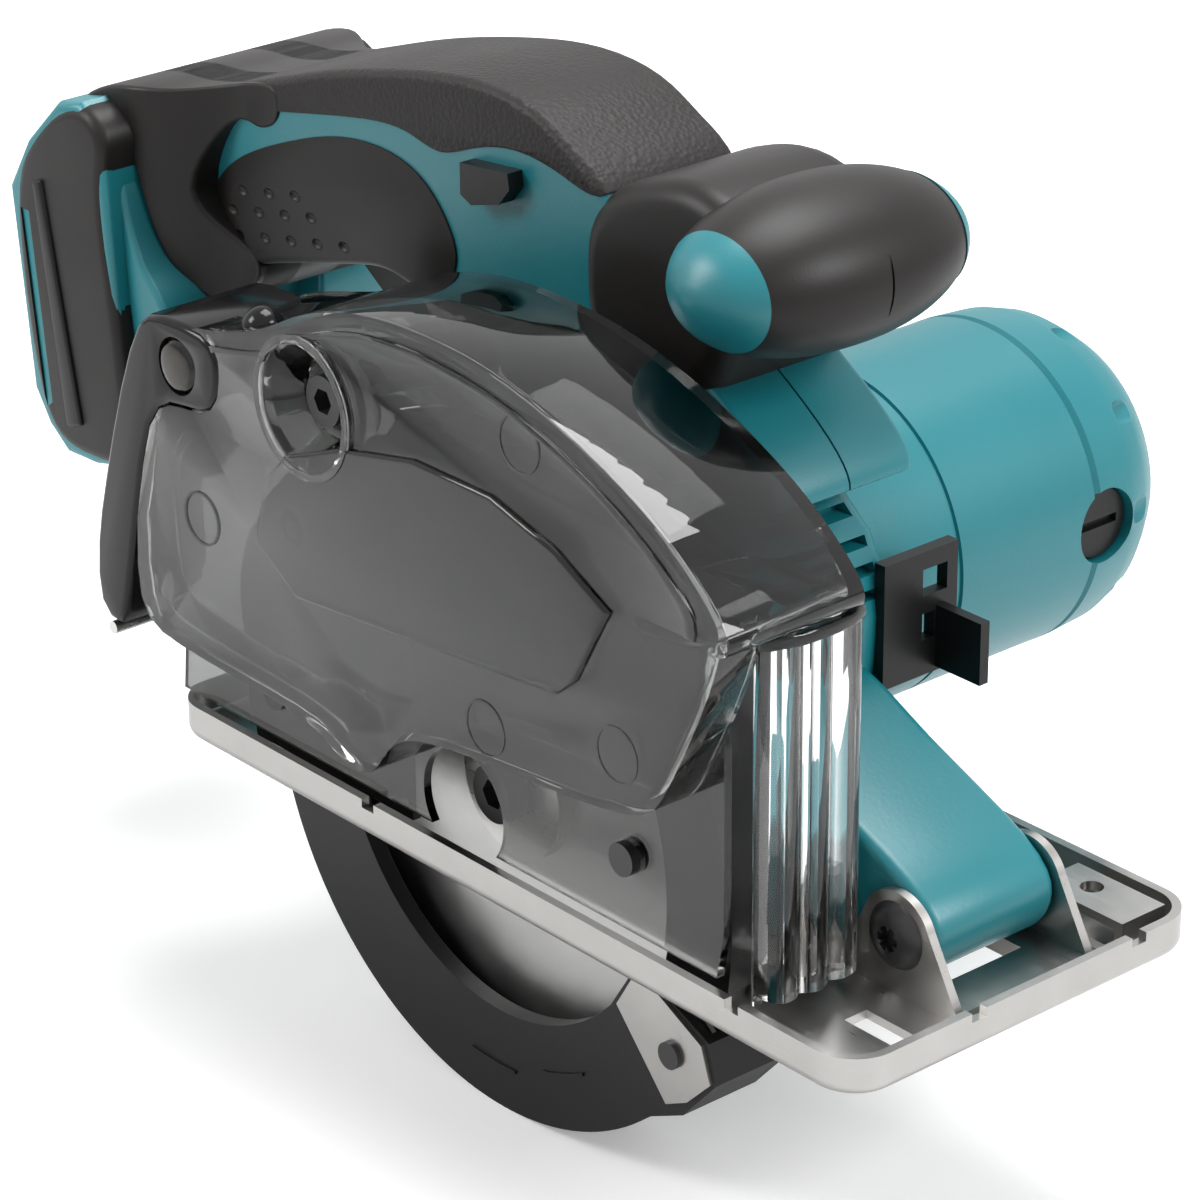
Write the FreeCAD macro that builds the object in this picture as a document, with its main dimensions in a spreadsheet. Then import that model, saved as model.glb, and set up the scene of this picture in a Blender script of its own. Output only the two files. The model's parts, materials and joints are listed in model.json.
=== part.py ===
import FreeCAD, Part
import math
import os
import re

import Sketcher
from FreeCAD import Placement, Rotation, Vector

# A cordless metal-cutting circular saw.  +X is the cutting direction, +Y the motor side and +Z up.
# The origin lies on the sole, under the arbor axis, in the plane where the handle halves meet.
# All sizes are millimetres.
SIZES = {
    # blade and spindle
    "arbor_up": 17.2, "blade_plane": 43.0, "blade_radius": 68.0, "blade_thick": 1.1, "bore_radius": 10.0,
    "teeth": 30, "tooth_depth": 4.0, "flange_radius": 17.0, "flange_thick": 4.4, "spindle_radius": 5.0,
    "bolt_radius": 4.0, "bolt_head_radius": 6.5, "bolt_head_tall": 5.5,
    # gear train
    "gear_module": 1.0, "driven_teeth": 22, "drive_teeth": 13, "first_module": 0.75, "wheel_teeth": 36,
    "pinion_teeth": 12, "gear_wide": 8.0, "motor_fore": 3.0, "motor_up": 50.0, "countershaft_radius": 3.0,
    # motor
    "motor_start": 14.0, "motor_end": 112.0, "motor_radius": 37.5, "motor_nose_radius": 29.0,
    "casing_wall": 2.6, "armature_radius": 16.5, "armature_long": 36.0, "shaft_radius": 4.0,
    "commutator_radius": 10.0, "brush_plane": 88.0, "brush_cap_radius": 8.0, "fan_radius": 27.0,
    "bearing_radius": 11.0, "bearing_wide": 7.0, "can_radius": 24.0,
    # lower guard
    "guard_radius": 74.0, "guard_wall": 2.0, "guard_half": 10.0, "guard_rim_inner": 50.5,
    "guard_hub": 13.0, "guard_nose": 80.0, "guard_span": 181.0, "guard_front_angle": 24.0,
    # blade case, cover, window and dust box
    "case_gap": 1.5, "case_wall": 2.5, "cover_out": 60.5, "box_out": 72.0, "box_wall": 2.0,
    "window_fore": 92.0, "window_top": 84.0, "chip_gap": 0.4,
    # base
    "base_rear": 99.0, "base_fore": 120.0, "base_right": 64.0, "base_left": 33.5, "base_rim": 8.6,
    "base_sheet": 2.0, "base_corner": 10.0, "pivot_fore": 96.0, "pivot_up": 15.0, "arm_radius": 10.5,
    "arm_right": 27.0, "arm_left": 7.0, "ear_gap": 0.3, "guide_arc": 158.0, "guide_wide": 16.0,
    "guide_slot": 6.6,
    # handle and battery mount
    "handle_half": 18.0, "skin": 2.0, "shell": 2.5, "battery_half": 40.0, "grip_half": 36.0,
    "grip_bulb": 20.5, "neck_half": 20.0,
    # fits
    "run_gap": 0.05, "part_gap": 0.3,
}

NODES = {}

doc = FreeCAD.newDocument("circular_saw")
sheet = doc.addObject("Spreadsheet::Sheet", "Sizes")
for row, (alias, number) in enumerate(SIZES.items(), 1):
    sheet.set(f"A{row}", alias)
    sheet.set(f"B{row}", str(number))
    sheet.setAlias(f"B{row}", alias)
doc.recompute()


# ---------------------------------------------------------------- helpers
def formula(text):
    """An expression in which every size is read from the sheet."""
    return re.sub(r"[a-z][a-z_0-9]*", lambda m: f"Sizes.{m[0]}" if m[0] in SIZES else m[0], str(text))


def value(text):
    """The number that an expression has now."""
    return float(sheet.evalExpression(formula(text)))


def bind(thing, **properties):
    """Tie properties to the sheet; a double underscore stands for the dot of a nested one."""
    for name, text in properties.items():
        thing.setExpression(name.replace("__", "."), formula(text))
    return thing


def place(thing, x=0, y=0, z=0, turn=None):
    """Put a thing at a bound position, turned by an optional rotation."""
    thing.Placement = Placement(Vector(0, 0, 0), turn or Rotation())
    return bind(thing, Placement__Base__x=x, Placement__Base__y=y, Placement__Base__z=z)


ALONG = {"X": Rotation(Vector(0, 1, 0), 90), "Y": Rotation(Vector(1, 0, 0), -90), "Z": Rotation()}
UPRIGHT = Rotation(Vector(1, 0, 0), 90)


def draw(sketch, points):
    """Draw a closed outline whose corners are held by bound distances."""
    corners = [Vector(value(u), value(v), 0) for u, v in points]
    count = len(corners)
    for index, corner in enumerate(corners):
        sketch.addGeometry(Part.LineSegment(corner, corners[(index + 1) % count]))
    for index, (u, v) in enumerate(points):
        sketch.addConstraint(Sketcher.Constraint("Coincident", index, 2, (index + 1) % count, 1))
        for kind, text in (("DistanceX", u), ("DistanceY", v)):
            held = sketch.addConstraint(Sketcher.Constraint(kind, -1, 1, index, 1, value(text)))
            sketch.setExpression(f"Constraints[{held}]", formula(text))
    return sketch


def outline(points):
    """An outline in the X-Z plane."""
    sketch = doc.addObject("Sketcher::SketchObject", "Outline")
    sketch.Placement = Placement(Vector(0, 0, 0), UPRIGHT)
    return draw(sketch, points)


def inset(profile, depth):
    """The same outline moved inward."""
    inner = doc.addObject("Part::Offset2D", "Inset")
    inner.Source = profile
    inner.Join = 2
    return bind(inner, Value=f"-({depth})")


def slab(profile, start, end):
    """An outline pushed out along Y from one plane to another."""
    solid = doc.addObject("Part::Extrusion", "Slab")
    solid.Base = profile
    solid.DirMode = "Custom"
    solid.Dir = Vector(0, 1, 0)
    solid.Solid = True
    bind(solid, LengthFwd=f"({end}) - ({start})")
    return bind(solid, Placement__Base__y=start)


def rod(x, y, z, radius, length, axis="Y"):
    """A cylinder that starts at a point and runs along an axis."""
    solid = doc.addObject("Part::Cylinder", "Rod")
    bind(solid, Radius=radius, Height=length)
    return place(solid, x, y, z, ALONG[axis])


def block(x, y, z, long, wide, tall):
    """A box from its lowest corner."""
    solid = doc.addObject("Part::Box", "Block")
    bind(solid, Length=long, Width=wide, Height=tall)
    return place(solid, x, y, z)


def join(*solids):
    """One solid from several."""
    fused = doc.addObject("Part::MultiFuse", "Join")
    fused.Shapes = list(solids)
    fused.Refine = True
    return fused


def cut(base, *tools):
    """A solid without the tools."""
    solid = doc.addObject("Part::Cut", "Cut")
    solid.Base = base
    solid.Tool = tools[0] if len(tools) == 1 else join(*tools)
    return solid


def keep(first, second):
    """What two solids share."""
    shared = doc.addObject("Part::Common", "Keep")
    shared.Base = first
    shared.Tool = second
    return shared


def tube(x, y, z, outer, inner, length, axis="Y"):
    """A round tube; its bore runs past both ends of the wall."""
    return cut(rod(x, y, z, outer, length, axis), rod(x, y, z, inner, length, axis))


def group(*solids):
    """Separate solids kept as one sub-part."""
    bunch = doc.addObject("Part::Compound", "Group")
    bunch.Links = list(solids)
    return bunch


def along(direction):
    """A test for straight edges that run one way."""
    return lambda edge: edge.Curve.TypeId == "Part::GeomLine" and \
        abs(abs(edge.tangentAt(edge.FirstParameter).dot(direction)) - 1) < 1e-6


def on_plane(name, text):
    """A test for edges that lie in the plane where one coordinate has a value."""
    level = value(text)
    return lambda edge: abs(getattr(edge.BoundBox, f"{name}Min") - level) < 1e-3 and \
        abs(getattr(edge.BoundBox, f"{name}Max") - level) < 1e-3


def node(label, solid):
    """Name a finished sub-part."""
    solid.Label = label
    NODES[label] = solid
    return solid


# ---------------------------------------------------------------- gears
PRESSURE = math.radians(25)
BACKLASH = 0.10
STUB = 0.70
ROOT = 1.0


def involute(base, radius):
    """The polar angle that an involute has reached at a radius."""
    ratio = math.sqrt(max((radius / base) ** 2 - 1, 0))
    return ratio - math.atan(ratio)


def gear(x, y, z, module, teeth, wide, bore, tooth_angle):
    """A spur gear about Y with stub teeth, one of which points at tooth_angle (from +X towards +Z)."""
    teeth = int(round(value(teeth)))
    module = value(module)
    pitch = module * teeth / 2
    base, tip, root = pitch * math.cos(PRESSURE), pitch + STUB * module, pitch - ROOT * module
    half = math.pi / (2 * teeth) - BACKLASH / (2 * pitch) + involute(base, pitch)
    radii = [root, max(root, base)] + [base + (tip - base) * step / 4 for step in (1, 2, 3, 4)]
    flank = [(r, half - involute(base, r)) for r in radii]
    tooth = [(r, -a) for r, a in flank] + [(r, a) for r, a in reversed(flank)]
    points = []
    for index in range(teeth):
        centre = tooth_angle + 2 * math.pi * index / teeth
        points += [Vector(r * math.cos(centre + a), 0, r * math.sin(centre + a)) for r, a in tooth]
    face = Part.Face(Part.makePolygon(points + points[:1]))
    solid = face.extrude(Vector(0, value(wide), 0))
    hole = Part.makeCylinder(value(bore), value(wide), Vector(0, 0, 0), Vector(0, 1, 0))
    wheel = doc.addObject("Part::Feature", "Gear")
    wheel.Shape = solid.cut(hole) if value(bore) > 0 else solid
    return place(wheel, x, y, z)


# The countershaft lies between the motor shaft and the spindle, at the two centre distances.
FIRST_REACH = value("first_module * (pinion_teeth + wheel_teeth) / 2")
SECOND_REACH = value("gear_module * (drive_teeth + driven_teeth) / 2")
SHAFT_RISE = value("motor_up - arbor_up")
SHAFT_SPAN = math.hypot(value("motor_fore"), SHAFT_RISE)
SHAFT_LEAN = math.atan2(SHAFT_RISE, value("motor_fore"))
APEX = math.acos((SECOND_REACH ** 2 + SHAFT_SPAN ** 2 - FIRST_REACH ** 2) / (2 * SECOND_REACH * SHAFT_SPAN))
COUNTER_X = SECOND_REACH * math.cos(SHAFT_LEAN - APEX)
COUNTER_Z = value("arbor_up") + SECOND_REACH * math.sin(SHAFT_LEAN - APEX)
TO_SPINDLE = SHAFT_LEAN - APEX + math.pi
TO_MOTOR = math.atan2(value("motor_up") - COUNTER_Z, value("motor_fore") - COUNTER_X)


# ---------------------------------------------------------------- blade and spindle
def make_blade():
    """The toothed disc: a pad, one gullet, and the gullet repeated round the axis."""
    body = doc.addObject("PartDesign::Body", "BladeBody")
    front = [f for f in body.Origin.OriginFeatures if f.Role == "XZ_Plane"][0]
    spin = [f for f in body.Origin.OriginFeatures if f.Role == "Y_Axis"][0]
    disc = body.newObject("Sketcher::SketchObject", "Disc")
    disc.AttachmentSupport, disc.MapMode = [(front, "")], "FlatFace"
    for radius in ("blade_radius", "bore_radius"):
        index = disc.addGeometry(Part.Circle(Vector(0, 0, 0), Vector(0, 0, 1), value(radius)))
        disc.addConstraint(Sketcher.Constraint("Coincident", index, 3, -1, 1))
        held = disc.addConstraint(Sketcher.Constraint("Radius", index, value(radius)))
        disc.setExpression(f"Constraints[{held}]", formula(radius))
    plate = body.newObject("PartDesign::Pad", "Plate")
    plate.Profile, plate.SideType = disc, "Symmetric"
    bind(plate, Length="blade_thick")
    gullet = body.newObject("Sketcher::SketchObject", "Gullet")
    gullet.AttachmentSupport, gullet.MapMode = [(front, "")], "FlatFace"
    draw(gullet, [("1.5", "blade_radius + 1"), ("-7.5", "blade_radius + 1"), ("-7.5", "blade_radius - 0.6"),
                  ("-1", "blade_radius - tooth_depth"), ("1", "blade_radius - tooth_depth")])
    notch = body.newObject("PartDesign::Pocket", "Notch")
    notch.Profile, notch.SideType = gullet, "Symmetric"
    bind(notch, Length="blade_thick * 4")
    ring = body.newObject("PartDesign::PolarPattern", "Teeth")
    ring.Originals, ring.Axis, ring.Angle = [notch], (spin, [""]), 360
    bind(ring, Occurrences="teeth")
    body.Tip = ring
    return place(body, 0, "-blade_plane", "arbor_up")


def on_arbor(start, radius, length):
    """A rod on the arbor axis."""
    return rod(0, start, "arbor_up", radius, length)


BLADE_NEAR = "-blade_plane - blade_thick/2"
BLADE_FAR = "-blade_plane + blade_thick/2"
FLANGE_BACK = f"{BLADE_FAR} + flange_thick"
CASE_FAR = "-blade_plane + guard_half + case_gap"
CASE_BACK = f"{CASE_FAR} + 2"
CASE_NEAR = "-blade_plane - guard_half - case_gap"
FIRST_BEARING = f"{CASE_BACK} - 0.5"
DRIVEN_GEAR = f"{FIRST_BEARING} + bearing_wide + 1.5"
SECOND_BEARING = f"{DRIVEN_GEAR} + gear_wide + 1"
WHEEL = f"{SECOND_BEARING} + bearing_wide + 1.5"
MOTOR_BEARING = f"{WHEEL} + gear_wide + 1.5"
HOUSING_START = f"{CASE_BACK} + 7.5"
SPINDLE_END = f"{SECOND_BEARING} + bearing_wide"

node("blade", make_blade())
boss = on_arbor(f"{BLADE_NEAR} - 0.6", "bore_radius - run_gap", "flange_thick")
node("inner_flange", cut(join(on_arbor(BLADE_FAR, "flange_radius", "flange_thick"), boss),
                         on_arbor(f"{BLADE_NEAR} - 2", "spindle_radius", "flange_thick + 8")))
outer_disc = on_arbor(f"{BLADE_NEAR} - 3.5", "flange_radius - 1", 3.5)
node("outer_flange", cut(outer_disc, on_arbor(f"{BLADE_NEAR} - 1", "bore_radius + run_gap", 1.5),
                         on_arbor(f"{BLADE_NEAR} - 4", "bolt_radius + 0.2", 5)))
bolt_head = on_arbor(f"{BLADE_NEAR} - 3.5 - bolt_head_tall", "bolt_head_radius", "bolt_head_tall")
bolt_shank = on_arbor(f"{BLADE_NEAR} - 3.5", "bolt_radius", 22)
socket = doc.addObject("Part::Prism", "Socket")
bind(socket, Polygon=6, Circumradius=3.4, Height=3.2)
place(socket, 0, f"{BLADE_NEAR} - 3.6 - bolt_head_tall", "arbor_up", ALONG["Y"])
node("blade_bolt", cut(join(bolt_head, bolt_shank), socket))
node("spindle", cut(on_arbor(f"{BLADE_NEAR} + 0.2", "spindle_radius", f"{SPINDLE_END} - ({BLADE_NEAR}) - 0.2"),
                    on_arbor(f"{BLADE_NEAR} - 1", "bolt_radius", 19.5)))
node("driven_gear", gear(0, DRIVEN_GEAR, "arbor_up", "gear_module", "driven_teeth", "gear_wide",
                         "spindle_radius", SHAFT_LEAN - APEX + math.pi / value("driven_teeth")))
node("spindle_bearings", group(*[
    tube(0, start, "arbor_up", "bearing_radius", "spindle_radius + 0.02", "bearing_wide")
    for start in (FIRST_BEARING, SECOND_BEARING)]))

# ---------------------------------------------------------------- countershaft
COUNTER_START = f"{CASE_BACK} + 1"
counter_rod = rod(COUNTER_X, COUNTER_START, COUNTER_Z, "countershaft_radius",
                  f"{MOTOR_BEARING} + 4.5 - ({COUNTER_START})")
drive_pinion = gear(COUNTER_X, DRIVEN_GEAR, COUNTER_Z, "gear_module", "drive_teeth", "gear_wide", 0, TO_SPINDLE)
node("countershaft", join(counter_rod, drive_pinion))
node("counter_wheel", gear(COUNTER_X, WHEEL, COUNTER_Z, "first_module", "wheel_teeth", "gear_wide",
                           "countershaft_radius", TO_MOTOR + math.pi / value("wheel_teeth")))
node("countershaft_bushes", group(*[
    tube(COUNTER_X, start, COUNTER_Z, "countershaft_radius + 2.2", "countershaft_radius + 0.02", 4)
    for start in (COUNTER_START, MOTOR_BEARING)]))


# ---------------------------------------------------------------- motor
def on_motor(start, radius, length):
    """A rod on the motor axis."""
    return rod("motor_fore", start, "motor_up", radius, length)


def motor_tube(start, outer, inner, length):
    """A tube on the motor axis."""
    return tube("motor_fore", start, "motor_up", outer, inner, length)


CORE = "motor_start + 20"
REAR_BEARING = "motor_end - casing_wall - bearing_wide"
COMMUTATOR = "brush_plane - 6"

armature_pinion = gear("motor_fore", WHEEL, "motor_up", "first_module", "pinion_teeth", "gear_wide", 0,
                       TO_MOTOR + math.pi)
node("armature_shaft", join(on_motor(f"{WHEEL} + gear_wide", "shaft_radius",
                                     f"{REAR_BEARING} + bearing_wide - 1 - ({WHEEL}) - gear_wide"),
                            armature_pinion))
node("armature_core", group(
    motor_tube(CORE, "armature_radius", "shaft_radius", "armature_long"),
    motor_tube(f"{CORE} - 6", "armature_radius - 1.5", "shaft_radius + 1", 6),
    motor_tube(f"{CORE} + armature_long", "armature_radius - 1.5", "shaft_radius + 1", 5)))
node("commutator", motor_tube(COMMUTATOR, "commutator_radius", "shaft_radius", 12))


def make_fan():
    """A hub and disc with straight blades that repeat round the shaft."""
    start = "motor_start + 3"
    blades = []
    for index in range(9):
        angle = 40 * index
        lean = math.radians(angle)
        vane = block(0, 0, 0, "fan_radius - 12", 8, 2)
        place(vane, f"motor_fore + {11 * math.cos(lean):.6f}", f"{start} + 1", f"motor_up + {11 * math.sin(lean):.6f}",
              Rotation(Vector(0, 1, 0), -angle))
        blades.append(vane)
    disc = on_motor(start, "fan_radius", 1.5)
    hub = on_motor(start, "shaft_radius + 8", 8)
    return cut(join(disc, hub, *blades), on_motor(f"{start} - 1", "shaft_radius", 12))


node("cooling_fan", make_fan())
node("armature_bearings", group(
    motor_tube(MOTOR_BEARING, "bearing_radius", "shaft_radius + 0.02", "bearing_wide"),
    motor_tube(REAR_BEARING, "bearing_radius", "shaft_radius + 0.02", "bearing_wide")))
node("stator_can", motor_tube(f"{CORE} - 5", "can_radius", "can_radius - 2", "armature_long + 10"))
magnet_ring = motor_tube(f"{CORE} - 1", "can_radius - 2", "armature_radius + 0.8", "armature_long + 2")
gaps = join(block("motor_fore - 3", CORE + " - 5", "motor_up - can_radius", 6, "armature_long + 10", "can_radius*2"),
            block("motor_fore - can_radius", CORE + " - 5", "motor_up - 3", "can_radius*2", "armature_long + 10", 6))
node("field_magnets", cut(magnet_ring, gaps))

BRUSH_IN = "commutator_radius + 0.3"
BRUSH_OUT = "motor_nose_radius - casing_wall - 3"


def both_brushes(start, end, wide, tall):
    """A pair of boxes on opposite sides of the commutator."""
    return [block(f"motor_fore + {start}", f"brush_plane - {wide}/2", f"motor_up - {tall}/2",
                  f"({end}) - ({start})", wide, tall),
            block(f"motor_fore - ({end})", f"brush_plane - {wide}/2", f"motor_up - {tall}/2",
                  f"({end}) - ({start})", wide, tall)]


node("carbon_brushes", group(*both_brushes(BRUSH_IN, f"{BRUSH_IN} + 11", 5, 7)))
holders = both_brushes("commutator_radius + 2", BRUSH_OUT, 8, 10)
bores = both_brushes("commutator_radius + 1", f"{BRUSH_OUT} + 1", 5, 7)
node("brush_holders", group(cut(holders[0], bores[0]), cut(holders[1], bores[1])))
CAP_IN = "motor_nose_radius - 2"
CAP_OUT = "motor_nose_radius + 5.5"


def brush_cap(side):
    """A screwed brush cap with a coin slot, on one side of the motor."""
    start = f"motor_fore + {CAP_IN}" if side > 0 else f"motor_fore - ({CAP_OUT})"
    face = f"motor_fore + {CAP_OUT} - 1.5" if side > 0 else f"motor_fore - ({CAP_OUT}) - 0.5"
    cap = rod(start, "brush_plane", "motor_up", "brush_cap_radius", f"({CAP_OUT}) - ({CAP_IN})", "X")
    return cut(cap, block(face, "brush_plane - 5.5", "motor_up - 1", 2, 11, 2))


node("brush_caps", group(brush_cap(1), brush_cap(-1)))


def make_motor_housing():
    """The can-shaped casing, turned about the motor axis, with a bearing seat at its closed end."""
    body = doc.addObject("PartDesign::Body", "MotorBody")
    flat = [f for f in body.Origin.OriginFeatures if f.Role == "XY_Plane"][0]
    outside = [("0", "motor_start"), ("motor_radius - 1", "motor_start"), ("motor_radius", "motor_start + 1.5"),
               ("motor_radius", "motor_start + 34"), ("motor_radius - 1.5", "motor_start + 50"),
               ("motor_nose_radius + 2", "motor_end - 8"), ("motor_nose_radius - 3", "motor_end"),
               ("0", "motor_end")]
    inside = [("0", "motor_start - 1"), ("motor_radius - casing_wall", "motor_start - 1"),
              ("motor_radius - casing_wall", "motor_start + 34"),
              ("motor_radius - 1.5 - casing_wall", "motor_start + 50"),
              ("motor_nose_radius + 2 - casing_wall", "motor_end - 9"),
              ("motor_nose_radius - 3 - casing_wall", "motor_end - casing_wall"),
              ("bearing_radius + 2.5", "motor_end - casing_wall"),
              ("bearing_radius + 2.5", REAR_BEARING), ("bearing_radius", REAR_BEARING),
              ("bearing_radius", "motor_end - casing_wall"), ("0", "motor_end - casing_wall")]
    for kind, points in (("Revolution", outside), ("Groove", inside)):
        sketch = body.newObject("Sketcher::SketchObject", kind + "Outline")
        sketch.AttachmentSupport, sketch.MapMode = [(flat, "")], "FlatFace"
        draw(sketch, points)
        feature = body.newObject(f"PartDesign::{kind}", kind)
        feature.Profile, feature.ReferenceAxis, feature.Angle = sketch, (sketch, ["V_Axis"]), 360
    return place(body, "motor_fore", 0, "motor_up")


cap_holes = [rod(f"motor_fore - ({CAP_OUT}) - 2", "brush_plane", "motor_up", "brush_cap_radius",
                 f"2*({CAP_OUT}) + 4", "X")]
vents = [block(f"motor_fore - 24 + {12 * step}", "motor_end - 14", "motor_up + 20", 6, 20, 20) for step in range(5)]
node("motor_housing", cut(make_motor_housing(), *cap_holes, *vents))

# ---------------------------------------------------------------- gear housing and arm
bearing_boss = on_arbor(f"{CASE_FAR} - 5", "guard_hub", f"{HOUSING_START} - ({CASE_FAR}) + 5")
plate_block = join(bearing_boss, on_arbor(CASE_BACK, "bearing_radius + 3", f"{HOUSING_START} - ({CASE_BACK})"),
                   rod(COUNTER_X, CASE_BACK, COUNTER_Z, "countershaft_radius + 6", f"{HOUSING_START} - ({CASE_BACK})"))
node("bearing_plate", cut(plate_block, on_arbor(FIRST_BEARING, "bearing_radius", 20),
                          on_arbor(f"{CASE_FAR} - 6", "spindle_radius + 1.5", 30),
                          rod(COUNTER_X, COUNTER_START, COUNTER_Z, "countershaft_radius + 2.2", 20),
                          block(-40, "-blade_plane", "-30", 80, 40, "30 + base_sheet + 1.8")))
HOUSING_TOP = 84
housing_outline = outline([("-30", "base_sheet + 2"), ("28", "base_sheet + 2"), ("46", "26"), ("49", "44"),
                           ("49", HOUSING_TOP), ("-36", HOUSING_TOP), ("-40", "56"), ("-40", "30")])
arm_outline = outline([("20", "46"), ("50", "46"), ("66", "37"), ("pivot_fore + 5", "pivot_up + 9.2"),
                       ("pivot_fore", "pivot_up - arm_radius + 0.3"), ("40", "7"), ("20", "7")])
arm = join(slab(arm_outline, "-arm_right", "arm_left"),
           rod("pivot_fore", "-arm_right", "pivot_up", "arm_radius", "arm_right + arm_left"))
arm = cut(arm, *[block(52, f"-arm_right + 3 + {8 * step}", 0, "pivot_fore - 68", 5, 24) for step in range(4)])
cavity = [on_arbor(f"{HOUSING_START} - 1", "bearing_radius + 1.4", f"{SECOND_BEARING} - ({HOUSING_START}) + 1"),
          on_arbor(SECOND_BEARING, "bearing_radius", "bearing_wide"),
          rod(COUNTER_X, f"{HOUSING_START} - 1", COUNTER_Z, "gear_module*(drive_teeth/2 + 1) + 0.6",
              f"{SECOND_BEARING} - ({HOUSING_START}) + 1"),
          rod(COUNTER_X, HOUSING_START, COUNTER_Z, "countershaft_radius + 0.4",
              f"{MOTOR_BEARING} - ({HOUSING_START})"),
          rod(COUNTER_X, f"{WHEEL} - 0.8", COUNTER_Z, "first_module*(wheel_teeth/2 + 1) + 0.6", "gear_wide + 1.8"),
          rod(COUNTER_X, MOTOR_BEARING, COUNTER_Z, "countershaft_radius + 2.2", 5),
          on_motor(f"{WHEEL} - 0.8", "first_module*(pinion_teeth/2 + 1) + 0.6", "gear_wide + 1.8"),
          on_motor(f"{WHEEL} + gear_wide", "shaft_radius + 1", 6),
          on_motor(MOTOR_BEARING, "bearing_radius", "bearing_wide + 20")]
slots = [block(44, f"-6 + {6 * step}", 40, 8, 3, 26) for step in range(3)]
lock_bore = rod(40, -12, 56, "2.6", 12, "X")
pivot_bore = rod("pivot_fore", "-arm_right - 1", "pivot_up", "bolt_radius + run_gap", "arm_right + arm_left + 2")
hollow = cut(slab(inset(housing_outline, 4), f"{HOUSING_START} + 4", "motor_start - 4"),
             on_arbor(HOUSING_START, "bearing_radius + 4", 60),
             rod(COUNTER_X, HOUSING_START, COUNTER_Z, "first_module*(wheel_teeth/2 + 1) + 3.2", 60),
             on_motor(HOUSING_START, "bearing_radius + 3", 60))
node("gear_housing", cut(join(cut(slab(housing_outline, HOUSING_START, "motor_start"), hollow), arm),
                         *cavity, *slots, lock_bore, pivot_bore))
node("shaft_lock_button", join(rod(52.5, -12, 56, 5, 5, "X"), rod(44.5, -12, 56, 2.5, 8.5, "X")))
holder = join(block(49, 9, 40, 3, 21, 28), block(52, 24, 41, 13, 2.5, 14))
node("key_holder", cut(holder, block(48, 20, 58, 5, 7, 6), block(48, 20, 48, 5, 3.5, 6)))

# ---------------------------------------------------------------- lower guard
GUARD_NEAR = "-blade_plane - guard_half"
GUARD_FAR = "-blade_plane + guard_half"


def ray(angle, reach):
    """A point at an angle below the horizontal, seen from the arbor."""
    lean = math.radians(angle)
    return (f"({reach})*{math.cos(lean):.6f}", f"arbor_up - ({reach})*{math.sin(lean):.6f}")


def make_guard():
    """A channel bent round the blade: two cheeks and a rim, a hub, and a longer nose in front."""
    front = value("guard_front_angle")
    back = front + value("guard_span")
    nose = slab(outline([ray(front, "guard_rim_inner"), ray(front + 18, "guard_rim_inner"),
                         ray(front + 24, "guard_radius"), ray(front + 16, "guard_nose - 2"),
                         ray(front + 5, "guard_nose"), ray(front, "guard_nose - 6")]), GUARD_NEAR, GUARD_FAR)
    near = tube(0, GUARD_NEAR, "arbor_up", "guard_radius", "guard_rim_inner", "guard_wall")
    rim = tube(0, GUARD_NEAR, "arbor_up", "guard_radius", "guard_radius - guard_wall", "guard_half*2")
    far = on_arbor(f"{GUARD_FAR} - guard_wall", "guard_radius", "guard_wall")
    lip = tube(0, GUARD_NEAR, "arbor_up", "guard_rim_inner + 2", "guard_rim_inner", 4)
    room = on_arbor(f"{GUARD_NEAR} + guard_wall", "guard_radius - guard_wall", "guard_half*2 - guard_wall*2")
    missing = slab(outline([("0", "arbor_up"), ray(front, 200), ray(front - 90, 300), ray(back, 200)]),
                   f"{GUARD_NEAR} - 1", f"{GUARD_FAR} + 1")
    channel = cut(join(cut(join(near, far, rim, nose), room), lip), missing)
    hub = on_arbor(f"{GUARD_FAR} - guard_wall", "guard_hub + 5", "guard_wall")
    windows = [slab(outline([ray(angle, "guard_rim_inner - 7"), ray(angle + 8, "guard_rim_inner - 7"),
                             ray(angle + 8, "guard_rim_inner - 2"), ray(angle, "guard_rim_inner - 2")]),
                    f"{GUARD_FAR} - 4", f"{GUARD_FAR} + 1") for angle in range(40, 190, 14)]
    return cut(join(channel, hub), on_arbor(f"{GUARD_FAR} - 4", "guard_hub + run_gap", 6), *windows)


node("lower_guard", make_guard())
shoe_front = value("guard_front_angle") + 0.5
shoe_outline = outline([ray(shoe_front, "guard_rim_inner + 1"), ray(shoe_front + 14, "guard_rim_inner + 1"),
                        ray(shoe_front + 17, "guard_radius"), ray(shoe_front + 12, "guard_nose - 3"),
                        ray(shoe_front + 5, "guard_nose - 1"), ray(shoe_front + 0.5, "guard_nose - 7")])
node("guard_shoe", slab(shoe_outline, f"{GUARD_NEAR} - 0.9", GUARD_NEAR))
rivet_x, rivet_z = ray(shoe_front + 8, "guard_radius - 6")
node("guard_rivet", rod(rivet_x, f"{GUARD_NEAR} - 2", rivet_z, 3, 1.1))
node("guard_spring", tube(0, f"{GUARD_FAR} + 0.3", "arbor_up", "guard_hub + 2.4", "guard_hub + 0.3",
                          "case_gap - 0.6"))

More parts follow.
